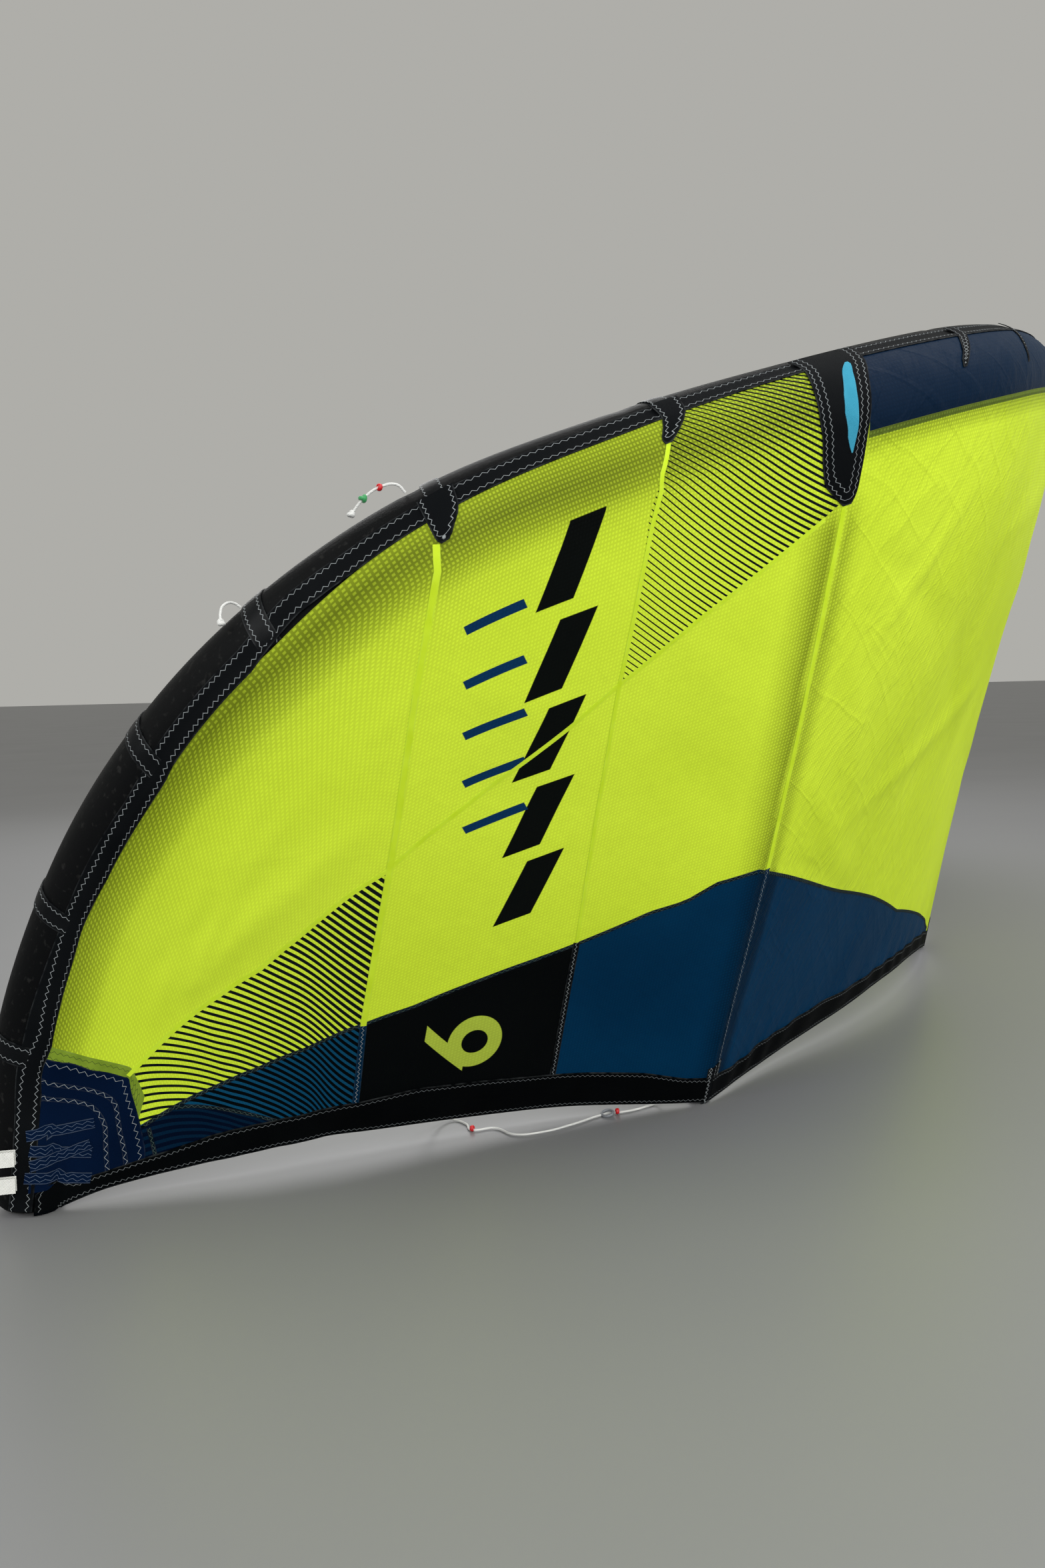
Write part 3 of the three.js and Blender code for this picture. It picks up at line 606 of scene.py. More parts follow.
# The canopy's print, in metres of station and arc
RIPSTOP_ALONG, RIPSTOP_DOWN = 0.0057, 0.00645
STRIPE_PERIOD, FINE_PERIOD = 0.0105, 0.0076
STRIPES_FROM, FINE_FROM, SIZE_PANEL = 2.9, 2.25, (2.479, 2.797)
BLOCK_PITCH, THIN_BAR_PITCH = 0.148, 0.094
LEAD_DEPTH, LEAD_END, OVERLAP_DEPTH = 0.122, 2.118, 0.132
FIGURE_AT, FIGURE_HALF = (2.609, 0.191), (0.0395, 0.061)
TIP_DARK_FROM = 3.905


def canopy_cloth():
    """Printed ripstop: bright panels, dark hem zone, plain stripes, size figure and plain bars."""
    finish = Finish("canopy_ripstop", Specular_IOR_Level=0.03)
    station, arc, rest = finish.parts(finish.mark("lay"))
    hem, diagonal, corner = finish.parts(finish.mark("zones"))
    tube, strut, run = finish.parts(finish.mark("shade"))
    where = finish.inside()
    cloud = finish.noise(where, 2.6, 3)
    grain = finish.noise(where, 46, 3)
    # ripstop squares
    u, v = (run / RIPSTOP_ALONG).fraction(), (arc / RIPSTOP_DOWN).fraction()
    squares = abs(u - 0.5).below(0.27, 0.12) * abs(v - 0.5).below(0.27, 0.12)
    # bright cloth
    lime = finish.mix(cloud.above(0.5, 0.4), paint(192, 216, 50), paint(202, 226, 58))
    middle = station.below(SIDE_STRUT / 1000, 0.012)
    # stripes between the diagonal and the hem zone, and between the flap and the diagonal
    out = station - STRIPES_FROM
    slant = out * 0.847 - out * out * 0.1575 + arc * 0.70
    stripes = bars(slant, STRIPE_PERIOD, 0.54 - out * 0.22)
    stripes = stripes * diagonal.above(0.004) * station.above(2.803, 0.002)
    near, turned = 2.49 - station, (0.14 - arc).most(0.0)
    out = station - FINE_FROM
    fine = bars(out * 0.54 + out * out * 0.6 + arc * 0.75, FINE_PERIOD, near * 0.75 + 0.22, 0.05)
    fine = fine * diagonal.below(-0.003) * station.above(2.135, 0.002)
    fine = fine * (near - turned * turned * 4.5).above(-0.004)
    lime = finish.mix(stripes.most(fine), lime, paint(12, 18, 20))
    # plain slanted blocks down the panel, and a column of plain thin bars beside them
    step = (arc - 0.075) / BLOCK_PITCH
    lean = step.fraction() - 0.5
    aside = station - 2.6071 + arc * 0.046
    block = abs(aside - lean * 0.045).below(0.026) * abs(lean).below(0.41, 0.01) * arc.between(0.075, 0.815)
    step = (arc - 0.14) / THIN_BAR_PITCH
    lean = step.fraction() - 0.5
    aside = station - 2.7308 + arc * 0.155
    thin = abs(aside + lean * 0.03).below(0.043) * abs(lean).below(0.09, 0.01) * arc.between(0.14, 0.61)
    lime = finish.mix(block, lime, paint(8, 11, 10))
    lime = finish.mix(thin, lime, paint(10, 46, 80))
    # two plain wide bars near the middle of the kite
    level = arc + station * 1.2
    bar = (station.below(0.40, 0.003) * level.between(1.05, 1.13)).most(
        station.below(0.34, 0.003) * level.between(1.20, 1.26))
    lime = finish.mix(bar, lime, paint(8, 11, 10))
    # hem zone
    teal = finish.mix(cloud.above(0.5, 0.5), paint(0, 38, 66), paint(2, 50, 82))
    striped = finish.mix(bars(slant, STRIPE_PERIOD, 0.55), paint(10, 66, 96), paint(1, 6, 9))
    teal = finish.mix(station.above(SIZE_PANEL[1], 0.002), teal, striped)
    black = finish.mix(cloud.above(0.5, 0.5), paint(2, 4, 5), paint(7, 9, 10))
    number_panel = station.between(*SIZE_PANEL, 0.002)
    low = finish.mix(number_panel, teal, black)
    # size figure: a ring and a tail
    across = (station - FIGURE_AT[0]) / FIGURE_HALF[0]
    down = (rest - FIGURE_AT[1]) / FIGURE_HALF[1]
    across, down = across * across, down * down
    ring = (across + down).below(1.0, 0.04) * (across * 4.34 + down * 4.94).above(1.0, 0.06)
    tail = abs(rest - station * 1.26 + 3.1618).below(0.018) * station.between(2.620, 2.684)
    low = finish.mix(ring.most(tail) * number_panel, low, paint(164, 182, 62))
    navy_corner = corner.above(0.0, 0.002) * station.above(2.80, 0.002)
    low = finish.mix(navy_corner * 0.85, low, paint(1, 11, 32))
    colour = finish.mix(hem.above(0.0, 0.0015), lime, low)
    colour = finish.mix(station.above(TIP_DARK_FROM, 0.002), colour, paint(3, 6, 12))
    # dark leading panel of the middle of the kite, with its overlap strip
    lead = arc.below(LEAD_DEPTH, 0.0015) * station.below(LEAD_END, 0.0015)
    overlap = arc.between(LEAD_DEPTH, OVERLAP_DEPTH) * station.below(LEAD_END, 0.0015)
    navy = finish.mix(station.below(1.5, 1.2), paint(5, 24, 44), paint(9, 34, 56))
    colour = finish.mix(overlap, colour, paint(112, 132, 48))
    colour = finish.mix(lead, colour, navy)
    # darker where tube or strut lie behind the cloth
    dark = tube * strut
    tone = dark * ((squares - 0.4) * ((1 - dark) * 0.8 + 0.13) + 1.0) * ((grain - 0.5) * 0.07 + 1.0)
    tone = tone.most(lead * 0.9)
    finish.put("Base Color", finish.shaded(colour, tone))
    # small creases, weave and the seam's puckers
    normal = finish.bump(finish.noise(where, 17, 5, 0.62), 0.3, 0.005)
    for lean, stretch, scale in ((0.9, 0.14, 11.0), (-0.25, 0.10, 15.0), (-0.7, 0.22, 19.0)):
        along = finish.joined(run + arc * lean, (arc - run * lean) * stretch, 0.0)
        line = abs(finish.noise(along, scale, 3, 0.45) - 0.5).below(0.022, 0.05)
        normal = finish.bump(line * (middle * 0.8 + 0.2), 0.38, 0.0018, normal)
    normal = finish.bump(squares, 0.22, 0.0005, normal)
    finish.put("Normal", normal)
    finish.put("Roughness", grain * 0.15 + 0.42)
    return finish.material


def smooth_tube(name, colour, other):
    """Tightly filled tube of coated cloth."""
    finish = Finish(name, Specular_IOR_Level=0.04)
    run, around, _ = finish.parts(finish.mark("sewn"))
    where = finish.inside()
    cloud = finish.noise(where, 5, 3)
    base = finish.mix(cloud.above(0.5, 0.5), colour, other)
    dust = finish.noise(where, 90, 3)
    base = finish.mix(dust.above(0.66, 0.12) * 0.05, base, paint(120, 120, 116))
    # the closing seam along the inner side, sewn on both sides
    seam = around.below(0.009, 0.0015)
    base = finish.mix(seam * 0.6, base, paint(9, 10, 11))
    base = finish.mix(zigzag(run, around, 0.005, 0.0028) * 0.7, base, THREAD)
    normal = weave_bump(finish, run, around, 0.0019, 0.2)
    normal = finish.bump(finish.noise(where, 24, 4), 0.2, 0.004, normal)
    normal = finish.bump(seam, 0.4, 0.0012, normal)
    finish.put("Base Color", base).put("Normal", normal)
    finish.put("Roughness", cloud * 0.15 + 0.40)
    return finish.material


def braided(name, colour, other):
    """Fine braided line."""
    finish = Finish(name, Sheen_Weight=0.3)
    x, y, z = finish.parts(finish.inside())
    strands = ((x + y * 0.7 + z * 1.3) * 1900).sine() * 0.5 + 0.5
    grain = finish.noise(finish.inside(), 220, 2)
    base = finish.mix(strands * 0.6 + grain * 0.3, colour, other)
    finish.put("Base Color", base).put("Normal", finish.bump(strands, 0.5, 0.0004))
    finish.put("Roughness", grain * 0.2 + 0.55)
    return finish.material


def moulded(name, colour, other, roughness=0.35):
    """Small moulded plastic part."""
    finish = Finish(name, Specular_IOR_Level=0.5)
    where = finish.inside()
    cloud = finish.noise(where, 300, 3)
    finish.put("Base Color", finish.mix(cloud, colour, other))
    finish.put("Normal", finish.bump(finish.noise(where, 900, 2), 0.1, 0.0003))
    finish.put("Roughness", cloud * 0.15 + roughness)
    return finish.material


def loop_webbing():
    """White woven webbing read from its own place on the part."""
    finish = Finish("webbing_loops", Sheen_Weight=0.3)
    x, y, z = finish.parts(finish.inside())
    ribs = ((x + y) * 3100).sine() * (z * 2600).sine()
    grain = finish.noise(finish.inside(), 120, 3)
    finish.put("Base Color", finish.mix(grain, paint(222, 222, 216), paint(196, 197, 192)))
    finish.put("Normal", finish.bump(ribs, 0.5, 0.0005))
    finish.put("Roughness", grain * 0.2 + 0.6)
    return finish.material


# Lines, beads, ring and knots
def lie_line(name, points, side, diameter, material, replaces):
    """Free line along its points, as a curve of one open spline."""
    curve = bpy.data.curves.new(name, "CURVE")
    curve.dimensions, curve.bevel_depth, curve.bevel_resolution = "3D", diameter / 2, 3
    curve.resolution_u, curve.use_fill_caps = 8, True
    spline = curve.splines.new("BEZIER")
    places = place(points, side)
    spline.bezier_points.add(len(places) - 1)
    for point, at in zip(spline.bezier_points, places):
        point.co = at
        point.handle_left_type = point.handle_right_type = "AUTO"
    piece = bpy.data.objects.new(name, curve)
    scene.collection.objects.link(piece)
    bpy.context.view_layer.update()
    knots = spline.bezier_points
    for a, b in zip(knots[:-1], knots[1:]):
        run = interpolate_bezier(a.co, a.handle_right, b.handle_left, b.co, 24)
    curve.materials.append(material)
    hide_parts(*replaces)
    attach(piece, "root")
    return piece


def set_down(piece, at, axis):
    """Turns a small piece's own z along axis, moves it to its place and keeps that in its mesh."""
    piece.rotation_mode = "QUATERNION"
    piece.rotation_quaternion = Vector(axis).to_track_quat("Z", "Y")
    piece.location = at
    select_only(piece)
    bpy.ops.object.transform_apply(location=True, rotation=True, scale=True)


def bead(name, at, axis, material, radius=0.0058):
    """Barrel bead with its hole along axis."""
    bpy.ops.mesh.primitive_torus_add(major_radius=radius * 0.62, minor_radius=radius * 0.42,
                                     major_segments=24, minor_segments=12)
    piece = bpy.context.active_object
    piece.name = piece.data.name = name
    piece.scale = (1, 1, 1.55)
    set_down(piece, at, axis)
    return finish_piece(piece, material)


def line_ring(name, at, axis, material, radius=0.011):
    bpy.ops.mesh.primitive_torus_add(major_radius=radius, minor_radius=0.0026,
                                     major_segments=36, minor_segments=12)
    piece = bpy.context.active_object
    piece.name = piece.data.name = name
    bpy.ops.object.mode_set(mode="EDIT")
    bpy.ops.mesh.select_all(action="SELECT")
    bpy.ops.transform.resize(value=(1, 1, 1.25))
    bpy.ops.object.mode_set(mode="OBJECT")
    set_down(piece, at, axis)
    return finish_piece(piece, material)


def knot(name, at, axis, material, radius=0.0046):
    """Tight overhand knot: two turns on top of each other, drawn into a lump."""
    bpy.ops.mesh.primitive_torus_add(major_radius=radius * 0.62, minor_radius=radius * 0.55,
                                     major_segments=20, minor_segments=10)
    piece = bpy.context.active_object
    piece.name = piece.data.name = name
    bpy.ops.object.mode_set(mode="EDIT")
    bpy.ops.mesh.select_all(action="SELECT")
    bpy.ops.transform.rotate(value=0.5, orient_axis="X", center_override=(0, 0, 0))
    bpy.ops.mesh.duplicate()
    bpy.ops.transform.rotate(value=1.9, orient_axis="X", center_override=(0, 0, 0))
    bpy.ops.transform.translate(value=(0, 0, radius * 0.5))
    bpy.ops.object.mode_set(mode="OBJECT")
    apply(piece, "REMESH", mode="VOXEL", voxel_size=radius * 0.16, use_smooth_shade=True)
    apply(piece, "SMOOTH", iterations=4, factor=0.5)
    select_only(piece)
    bpy.ops.object.origin_set(type="ORIGIN_GEOMETRY", center="BOUNDS")
    set_down(piece, at, axis)
    return finish_piece(piece, material)


def tube_at(station, degrees, lift):
    return tube_point(np.array([float(station)]), np.array([float(degrees)]), lift)[0]


def cloth_at(station, arc, lift):
    return skin(np.array([float(station)]), np.array([float(arc)]), np.array([float(lift)]))[0]


LINE_WIDTH = 0.004
INNER_RUN_DOWN = [(2802, 300, -16), (2798, 470, -15), (2790, 640, -15), (2770, 800, -15), (2740, 960, -15),
                  (2700, 1090, -16)]
FLOOR_RUN = [(1790, 1245, 22), (1745, 1226, 5), (1762, 1190, 3), (1793, 1168, 3), (1776, 1130, 3),
             (1803, 1082, 3), (1783, 1035, 3), (1732, 988, 3), (1667, 938, 3), (1643, 898, 3),
             (1612, 868, 3), (1592, 850, 7)]
INNER_RUN_UP = [(2250, 1350, -15), (2255, 1210, -16), (2262, 1060, -16), (2268, 880, -16), (2270, 700, -16),
                (2268, 520, -16), (2262, 340, -17)]
FIRST_BEAD, SECOND_BEAD, RING = (1793, 1168, 6.2), (1656, 917, 6.2), (1668, 934, 5.2)
OUTER_TAIL = [(3080, 102, 3), (3083, 100, 14), (3090, 91, 21), (3096, 80, 19), (3100, 71, 14)]
INNER_TAIL = [(2795, 100, 3), (2800, 100, 18), (2822, 98, 27), (2848, 95, 25), (2872, 92, 16)]


def lay_lines(line, red, ring_grey, green):
    for word, side in SIDES.items():
        route = [tube_at(2800, -118, 3), tube_at(2800, -112, 24)]
        route += [cloth_at(*p) for p in INNER_RUN_DOWN] + [np.array(p, float) for p in FLOOR_RUN]
        route += [cloth_at(*p) for p in INNER_RUN_UP]
        route += [tube_at(2255, -112, 24), tube_at(2255, -118, 3)]
        on_line = [
            bead(f"bridle_bead_1_{word}", place(FIRST_BEAD, side), (0.1 * side, -1, 0.02), red),
            bead(f"bridle_bead_2_{word}", place(SECOND_BEAD, side), (-0.4 * side, -1, 0), red),
            line_ring(f"bridle_ring_{word}", place(RING, side), (0.25 * side, 0.1, 1), ring_grey),
        ]
        lie_line(f"bridle_line_{word}", route, side, LINE_WIDTH, line,
                 [f"bridle_{word}"])
        tail = [tube_at(*p) for p in OUTER_TAIL]
        end = knot(f"outer_knot_{word}", place(tail[-1], side), (0.2, 0.4, 0.6), line, 0.0052)
        lie_line(f"outer_tail_{word}", tail, side, LINE_WIDTH, line,
                 [f"pigtail_outer_{word}"])
        tail = [tube_at(*p) for p in INNER_TAIL]
        pieces = [
            knot(f"inner_knot_{word}", place(tail[-1], side), (0.6 * side, 0.4, -0.5), line,
                 0.0052),
            knot(f"inner_green_knot_{word}", place(tail[3], side), (0.6 * side, 0.6, -0.3), green,
                 0.0056),
            bead(f"inner_bead_{word}", place(tail[2], side), (0.7 * side, 0.6, 0.1), red,
                 0.0052),
        ]
        lie_line(f"inner_tail_{word}", tail, side, LINE_WIDTH, line,
                 [f"pigtail_inner_{word}"])


# Tube, struts
JOINTS = [3900, 3650, 3320, 3055]
MEAN_TUBE_RADIUS = 0.095


def build_tube(material):
    """Whole leading edge tube, from wing tip to wing tip."""
    beside_joint = np.array([-30, -18, -10, -5, 0, 5, 10, 18, 30])
    half = np.concatenate([np.arange(0, 4150, 24.0), *(j + beside_joint for j in JOINTS), [4150.0]])
    half = np.unique(half)
    turns = np.arange(48) / 48 * 360 - 180
    s, angle = np.meshgrid(half, turns, indexing="ij")
    lift = np.zeros(s.shape)
    for joint in JOINTS + [2788, 2475, 2150, 1800, 1500]:
        near = np.exp(-((s - joint) / 9)**2)
        lift -= near * 1.6
        lift += 0.7 * np.sin(np.radians(angle) * 17 + joint) * np.exp(-np.abs(s - joint) / 26)
    points = tube_point(s, angle, lift)
    ends, shares = [4166, 4178, 4186, 4191], [0.985, 0.93, 0.8, 0.55]
    for station, share in zip(ends, shares):
        here = Section(np.full(len(turns), float(station)))
        ring = here.axis + here.radial(np.radians(turns)) * (here.radius * share)[:, None]
        ring[:, 2] = np.maximum(ring[:, 2], 0.6)
        points = np.concatenate([points, ring[None]])
    points[..., 2] = np.maximum(points[..., 2], 0.4)
    right = place(points, 1)
    left = place(points, -1)[:0:-1]
    whole = np.concatenate([left, right])
    reach = np.concatenate([half, ends])
    signed = np.concatenate([-reach[:0:-1], reach]) * MM
    # distance from the closing seam, which lies on the inner side of the tube
    around = np.abs((turns + 142.5 + 180) % 360 - 180)
    around = np.radians(around)[None] * MEAN_TUBE_RADIUS
    marks = np.stack(np.broadcast_arrays(signed[:, None], around, 0.0), -1)
    piece = sew("leading_edge_tube", [Weave(whole, {"sewn": marks}, closed=True)])
    names = ["tube_centre"] + [f"tube_{part}_{word}" for part in ("side", "tip") for word in SIDES]
    finish_piece(piece, material, names, smooth_by=50)


CENTRE_STRUT_RADIUS, SIDE_STRUT_RADIUS = 46.0, 42.0
STRUT_TAPER = table((0, 1), (.15, 1), (.27, 1), (.42, .97), (.6, .88), (.8, .73), (.95, .58), (1, .54))


def strut_ring(station, share, radius, grow, turns):
    """One ring of a strut, with the direction that runs down it."""
    s = np.array([float(station)])
    at = np.array([float(share)])
    middle = free_point(s, at)[0]
    normal = free_normal(s, at)[0]
    down = unit(free_point(s, np.minimum(at + 0.02, 1))[0] - free_point(s, np.maximum(at - 0.02, 0))[0])
    across = unit(np.cross(normal, down))
    centre = middle - normal * (6 + radius)
    size = radius + grow
    return centre + size * (normal * np.cos(turns)[:, None] + across * np.sin(turns)[:, None]), down


def build_strut(name, station, radius, side, material, replaces):
    turns = np.arange(32) / 32 * 2 * np.pi
    shares = np.concatenate([[0.02, 0.05, 0.09], np.linspace(0.13, 0.94, 40)])
    rings = []
    for share in shares:
        pucker = 0.27 * math.sin(share * 95)
        ring, _ = strut_ring(station, share, radius * STRUT_TAPER(share), 2.2 + pucker, turns)
        rings.append(ring)
    end, down = strut_ring(station, 0.985, radius * STRUT_TAPER(0.97) * 0.86, 1.0, turns)
    rings.append(end)
    sole = end + down * (-end[:, 2:] / down[2])
    for share, raise_by in ((1.0, 4.0), (0.86, 0.6)):
        ring = sole.mean(0) + (sole - sole.mean(0)) * share
        ring[:, 2] = raise_by
        rings.append(ring)
    points = np.stack(rings)
    points[..., 2] = np.maximum(points[..., 2], 0.4)
    run = spaced(points.mean(1)) * MM
    # distance from the closing seam, which lies opposite the cloth
    around = np.abs(np.angle(np.exp(1j * (turns - np.pi)))) * radius * MM
    marks = np.stack(np.broadcast_arrays(run[:, None], around[None], 0.0), -1)
    piece = sew(name, [Weave(place(points, side), {"sewn": marks}, closed=True)])
    finish_piece(piece, material, replaces, smooth_by=50)


# Canopy
def spread(low, high, step):
    return np.linspace(low, high, max(2, int(round((high - low) / step)) + 1))


# Where the tube behind the cloth takes most light, in millimetres of arc, and the share it lets through
DARKEST_AT = table((2150, 50), (2350, 50), (2560, 52), (2740, 40), (2900, 26), (3100, 18), (3400, 14),
                   (4000, 12))
DARKEST = table((2150, .42), (2350, .42), (2450, .30), (2560, .25), (2900, .26), (3200, .28), (3430, .36),
                (3633, .38), (3850, .5))
# The share of light let through beside the line of a side strut, in the bright and in the dark cloth
BESIDE_STRUT = table((-60, 1), (-50, .92), (-15, .6), (-6, .75), (0, .95), (6, .9), (12, .46), (20, .46),
                     (45, .75), (80, .98), (90, 1))
BESIDE_STRUT_LOW = table((-70, 1), (-50, .5), (20, .5), (70, 1))


def tube_shade(station, arc):
    """Light lost through the cloth where the tube lies behind it."""
    darkest_at, darkest = DARKEST_AT(station), DARKEST(station)
    shade = np.ones(station.shape)
    levels = [(0, 0.43), (darkest_at, darkest), (darkest_at + 25, 0.42), (90, 0.66), (115, 0.86), (160, 0.95),
              (240, 1)]
    for (a, light_a), (b, light_b) in zip(levels[:-1], levels[1:]):
        t = np.clip((arc - a) / (b - a), 0, 1)
        inside = (arc >= a) & (arc < b)
        shade = np.where(inside, light_a + (light_b - light_a) * t, shade)
    middle = np.interp(arc, [120, 134, 165, 240], [.5, .5, .97, 1])
    shade = np.where(station < SIDE_STRUT - 20, np.where(arc < 120, 1.0, middle), shade)
    return shade


def strut_shade(station, arc, hem):
    """Light lost where a side strut lies behind the cloth."""
    away = station - STRUT_LINE(arc)
    shade = np.where(hem > 0, BESIDE_STRUT_LOW(away), BESIDE_STRUT(away))
    return 1 - (1 - shade) * np.clip((arc - 200) / 60, 0, 1)


def build_canopy(material):
    """The whole canopy, one continuous sheet of cloth from tip to tip."""
    half = np.concatenate([spread(0, SIDE_STRUT, 17.5), spread(SIDE_STRUT, INNER_SEAM, 16)[1:],
                           spread(INNER_SEAM, OUTER_SEAM, 16)[1:], spread(OUTER_SEAM, CLOTH_END, 17)[1:]])
    share_down = np.linspace(0, 1, 84)
    full = whole_arc(half)
    s = np.broadcast_to(half[:, None], (len(half), len(share_down)))
    arc = full[:, None] * share_down
    points = on_cloth(s, arc, 0.4)
    rest = full[:, None] - arc
    section = Section(s)
    share = (arc - section.wrap) / section.length
    hem = (share - HEM_TOP(s)) * section.length
    diagonal = (share - DIAGONAL(s)) * section.length
    corner = (share - CORNER_TOP(s)) * section.length
    run = np.broadcast_to(spaced(points[:, 50])[:, None], s.shape)
    lay = np.stack([s, arc, rest], -1) * MM
    zones = np.stack([hem, diagonal, corner], -1) * MM
    shade = np.stack([tube_shade(s, arc), strut_shade(s, arc, hem), run * MM], -1)
    whole = {}
    for key, values in (("lay", lay), ("zones", zones), ("shade", shade)):
        whole[key] = np.concatenate([values[:0:-1], values])
    cloth = np.concatenate([place(points, -1)[:0:-1], place(points, 1)])
    piece = sew("canopy", [Weave(cloth, whole)], thickness=0.0008)
    names = [f"panel_{part}_{word}" for part in ("centre", "inner", "outer", "tip") for word in SIDES]
    finish_piece(piece, material, names, smooth_by=35)
    down = np.linalg.norm(np.diff(cloth, axis=1), axis=2)
    over = np.linalg.norm(np.diff(cloth, axis=0), axis=2)
    area = ((down[1:] + down[:-1]) / 2 * (over[:, 1:] + over[:, :-1]) / 2).sum()
    return piece, float(area)


# Flap, hem band, tapes, patches
TRIM_SMOOTH_BY = 40


def along_edge(stations, from_arc, to_arc, lift, side, columns):
    """Band along the leading or trailing edge.

    Its marks are the run, the distance from its lower side and the distance from the nearer side.
    """
    t = np.linspace(0, 1, columns)
    s = np.broadcast_to(stations[:, None], (len(stations), columns))
    arc = from_arc[:, None] + (to_arc - from_arc)[:, None] * t
    points = on_cloth(s, arc, lift(arc))
    run = np.broadcast_to(spaced(points[:, columns // 2])[:, None], s.shape)
    across = np.abs(to_arc[:, None] - arc)
    edge = np.minimum(across, np.abs(arc - from_arc[:, None]))
    return Weave(place(points, side), {"sewn": np.stack([run, across, edge], -1) * MM})


STRUT_PATCH = [(-34, 2064, 2196), (-19, 2067, 2195), (0, 2073, 2194), (16, 2079, 2199), (44, 2097, 2207),
               (56, 2102, 2209), (89, 2114, 2214), (112, 2122, 2212), (142, 2124, 2208), (163, 2125, 2203),
               (184, 2127, 2197), (203, 2128, 2178), (214, 2131, 2167), (225, 2138, 2155)]
CENTRE_PATCH = [(-34, -62, 62), (2, -62, 62), (46, -57, 57), (90, -50, 50), (122, -45, 45), (160, -38, 38),
                (205, -30, 30), (228, -20, 20), (238, -8, 8)]
INLAY = [(8, 2112, 2118), (12, 2110, 2124), (20, 2114, 2134), (29, 2120, 2141), (60, 2133, 2159),
         (85, 2140, 2167), (119, 2147, 2165), (135, 2150, 2159), (145, 2152, 2154)]
OUTER_TAB = [(-36, 2736, 2788), (0, 2740, 2788), (12, 2746, 2788), (25, 2758, 2788), (33, 2765, 2787),
             (37, 2771, 2783)]
INNER_TAB = [(-36, 2398, 2444), (0, 2404, 2442), (14, 2414, 2448), (27, 2428, 2456), (36, 2440, 2459),
             (40, 2446, 2456)]
FIRST_TAB = [(-30, 1778, 1812), (0, 1786, 1816), (30, 1818, 1845), (50, 1846, 1866), (62, 1862, 1871)]
SECOND_TAB = [(-30, 1490, 1514), (0, 1502, 1522), (40, 1545, 1560), (72, 1580, 1586)]
# wing tip patch: inner edge by share of the free cloth
TIP_EDGE = [(0, 3886), (.03, 3880), (.088, 3865), (.2, 3832), (.341, 3797), (.44, 3757), (.502, 3733),
            (.52, 3722), (.573, 3737), (.66, 3751), (.733, 3764), (.85, 3788), (.919, 3809), (1, 3826)]
TIP_CURVES = [
    [(3944, 1), (3926, 26), (3899, 58), (3866, 97), (3830, 143), (3806, 178), (3793, 203), (3792, 219),
     (3808, 233), (3825, 248), (3839, 266), (3860, 280), (3872, 290)],
    [(3976, 1), (3969, 22), (3918, 71), (3882, 111), (3852, 151), (3844, 173), (3844, 193), (3849, 205),
     (3872, 212), (3897, 220), (3922, 229), (3938, 236)],
]
TIP_OUTER_CURVE = [(3748, 318), (3759, 337), (3769, 350), (3776, 360)]
# overlap of the bright cloth beside the tip patch: arc, station from, station to
TIP_OVERLAP = [(14, 3864, 3892), (30, 3851, 3880), (125, 3783, 3812), (215, 3714, 3750), (232, 3702, 3745),
               (264, 3706, 3755), (286, 3711, 3764)]
TIP_STRAPS = [
    [(4045, -10), (4043, 9), (4028, 39), (3958, 96), (3907, 138), (3868, 173)],
    [(4072, -6), (4077, 19), (4071, 45), (4015, 95), (3969, 139), (3929, 177)],
    [(4099, -6), (4095, 17), (4091, 38), (4022, 91), (3962, 135), (3915, 171)],
    [(4119, -14), (4121, 2), (4126, 24), (4108, 63), (4048, 121), (3992, 174)],
]


def tip_patch(side):
    """Patch over the wing tip, from under the flap down to the trailing edge."""
    share = np.concatenate([np.linspace(0, 0.48, 24), np.linspace(0.5, 0.58, 7), np.linspace(0.6, 1, 20)])
    rows = np.array(TIP_EDGE)
    inner = np.interp(share, rows[:, 0], rows[:, 1])
    t = np.linspace(0, 1, 36)
    s = inner[:, None] + (4146 - inner)[:, None] * t
    first = FLAP_EDGE(s) - 9
    arc = first + (whole_arc(s) - 1 - first) * share[:, None]
    points = on_cloth(s, arc, 1.3)
    rim = points[:, 0]
    fine = np.concatenate([rim[:-1] + (rim[1:] - rim[:-1]) * k for k in (0, .2, .4, .6, .8)])
    edge = np.min(np.linalg.norm(points.reshape(-1, 1, 3) - fine[None], axis=2), axis=1).reshape(s.shape)
    run = np.broadcast_to(spaced(points[:, 0])[:, None], s.shape)
    marks = np.stack([run, s - inner[:, None], edge], -1) * MM
    return Weave(place(points, side).transpose(1, 0, 2), {"sewn": marks.transpose(1, 0, 2)})


def strut_foot(station, side):
    rows = []
    for rest in (92, 78, 60, 40, 20, 3):
        arc = float(whole_arc(np.array([max(station, 1.0)]))[0]) - rest
        spread_by = 20 if station < 1 else 26
        rows.append((arc, station - spread_by, station + spread_by))
    return patch(rows, 2.3, side, step=8)


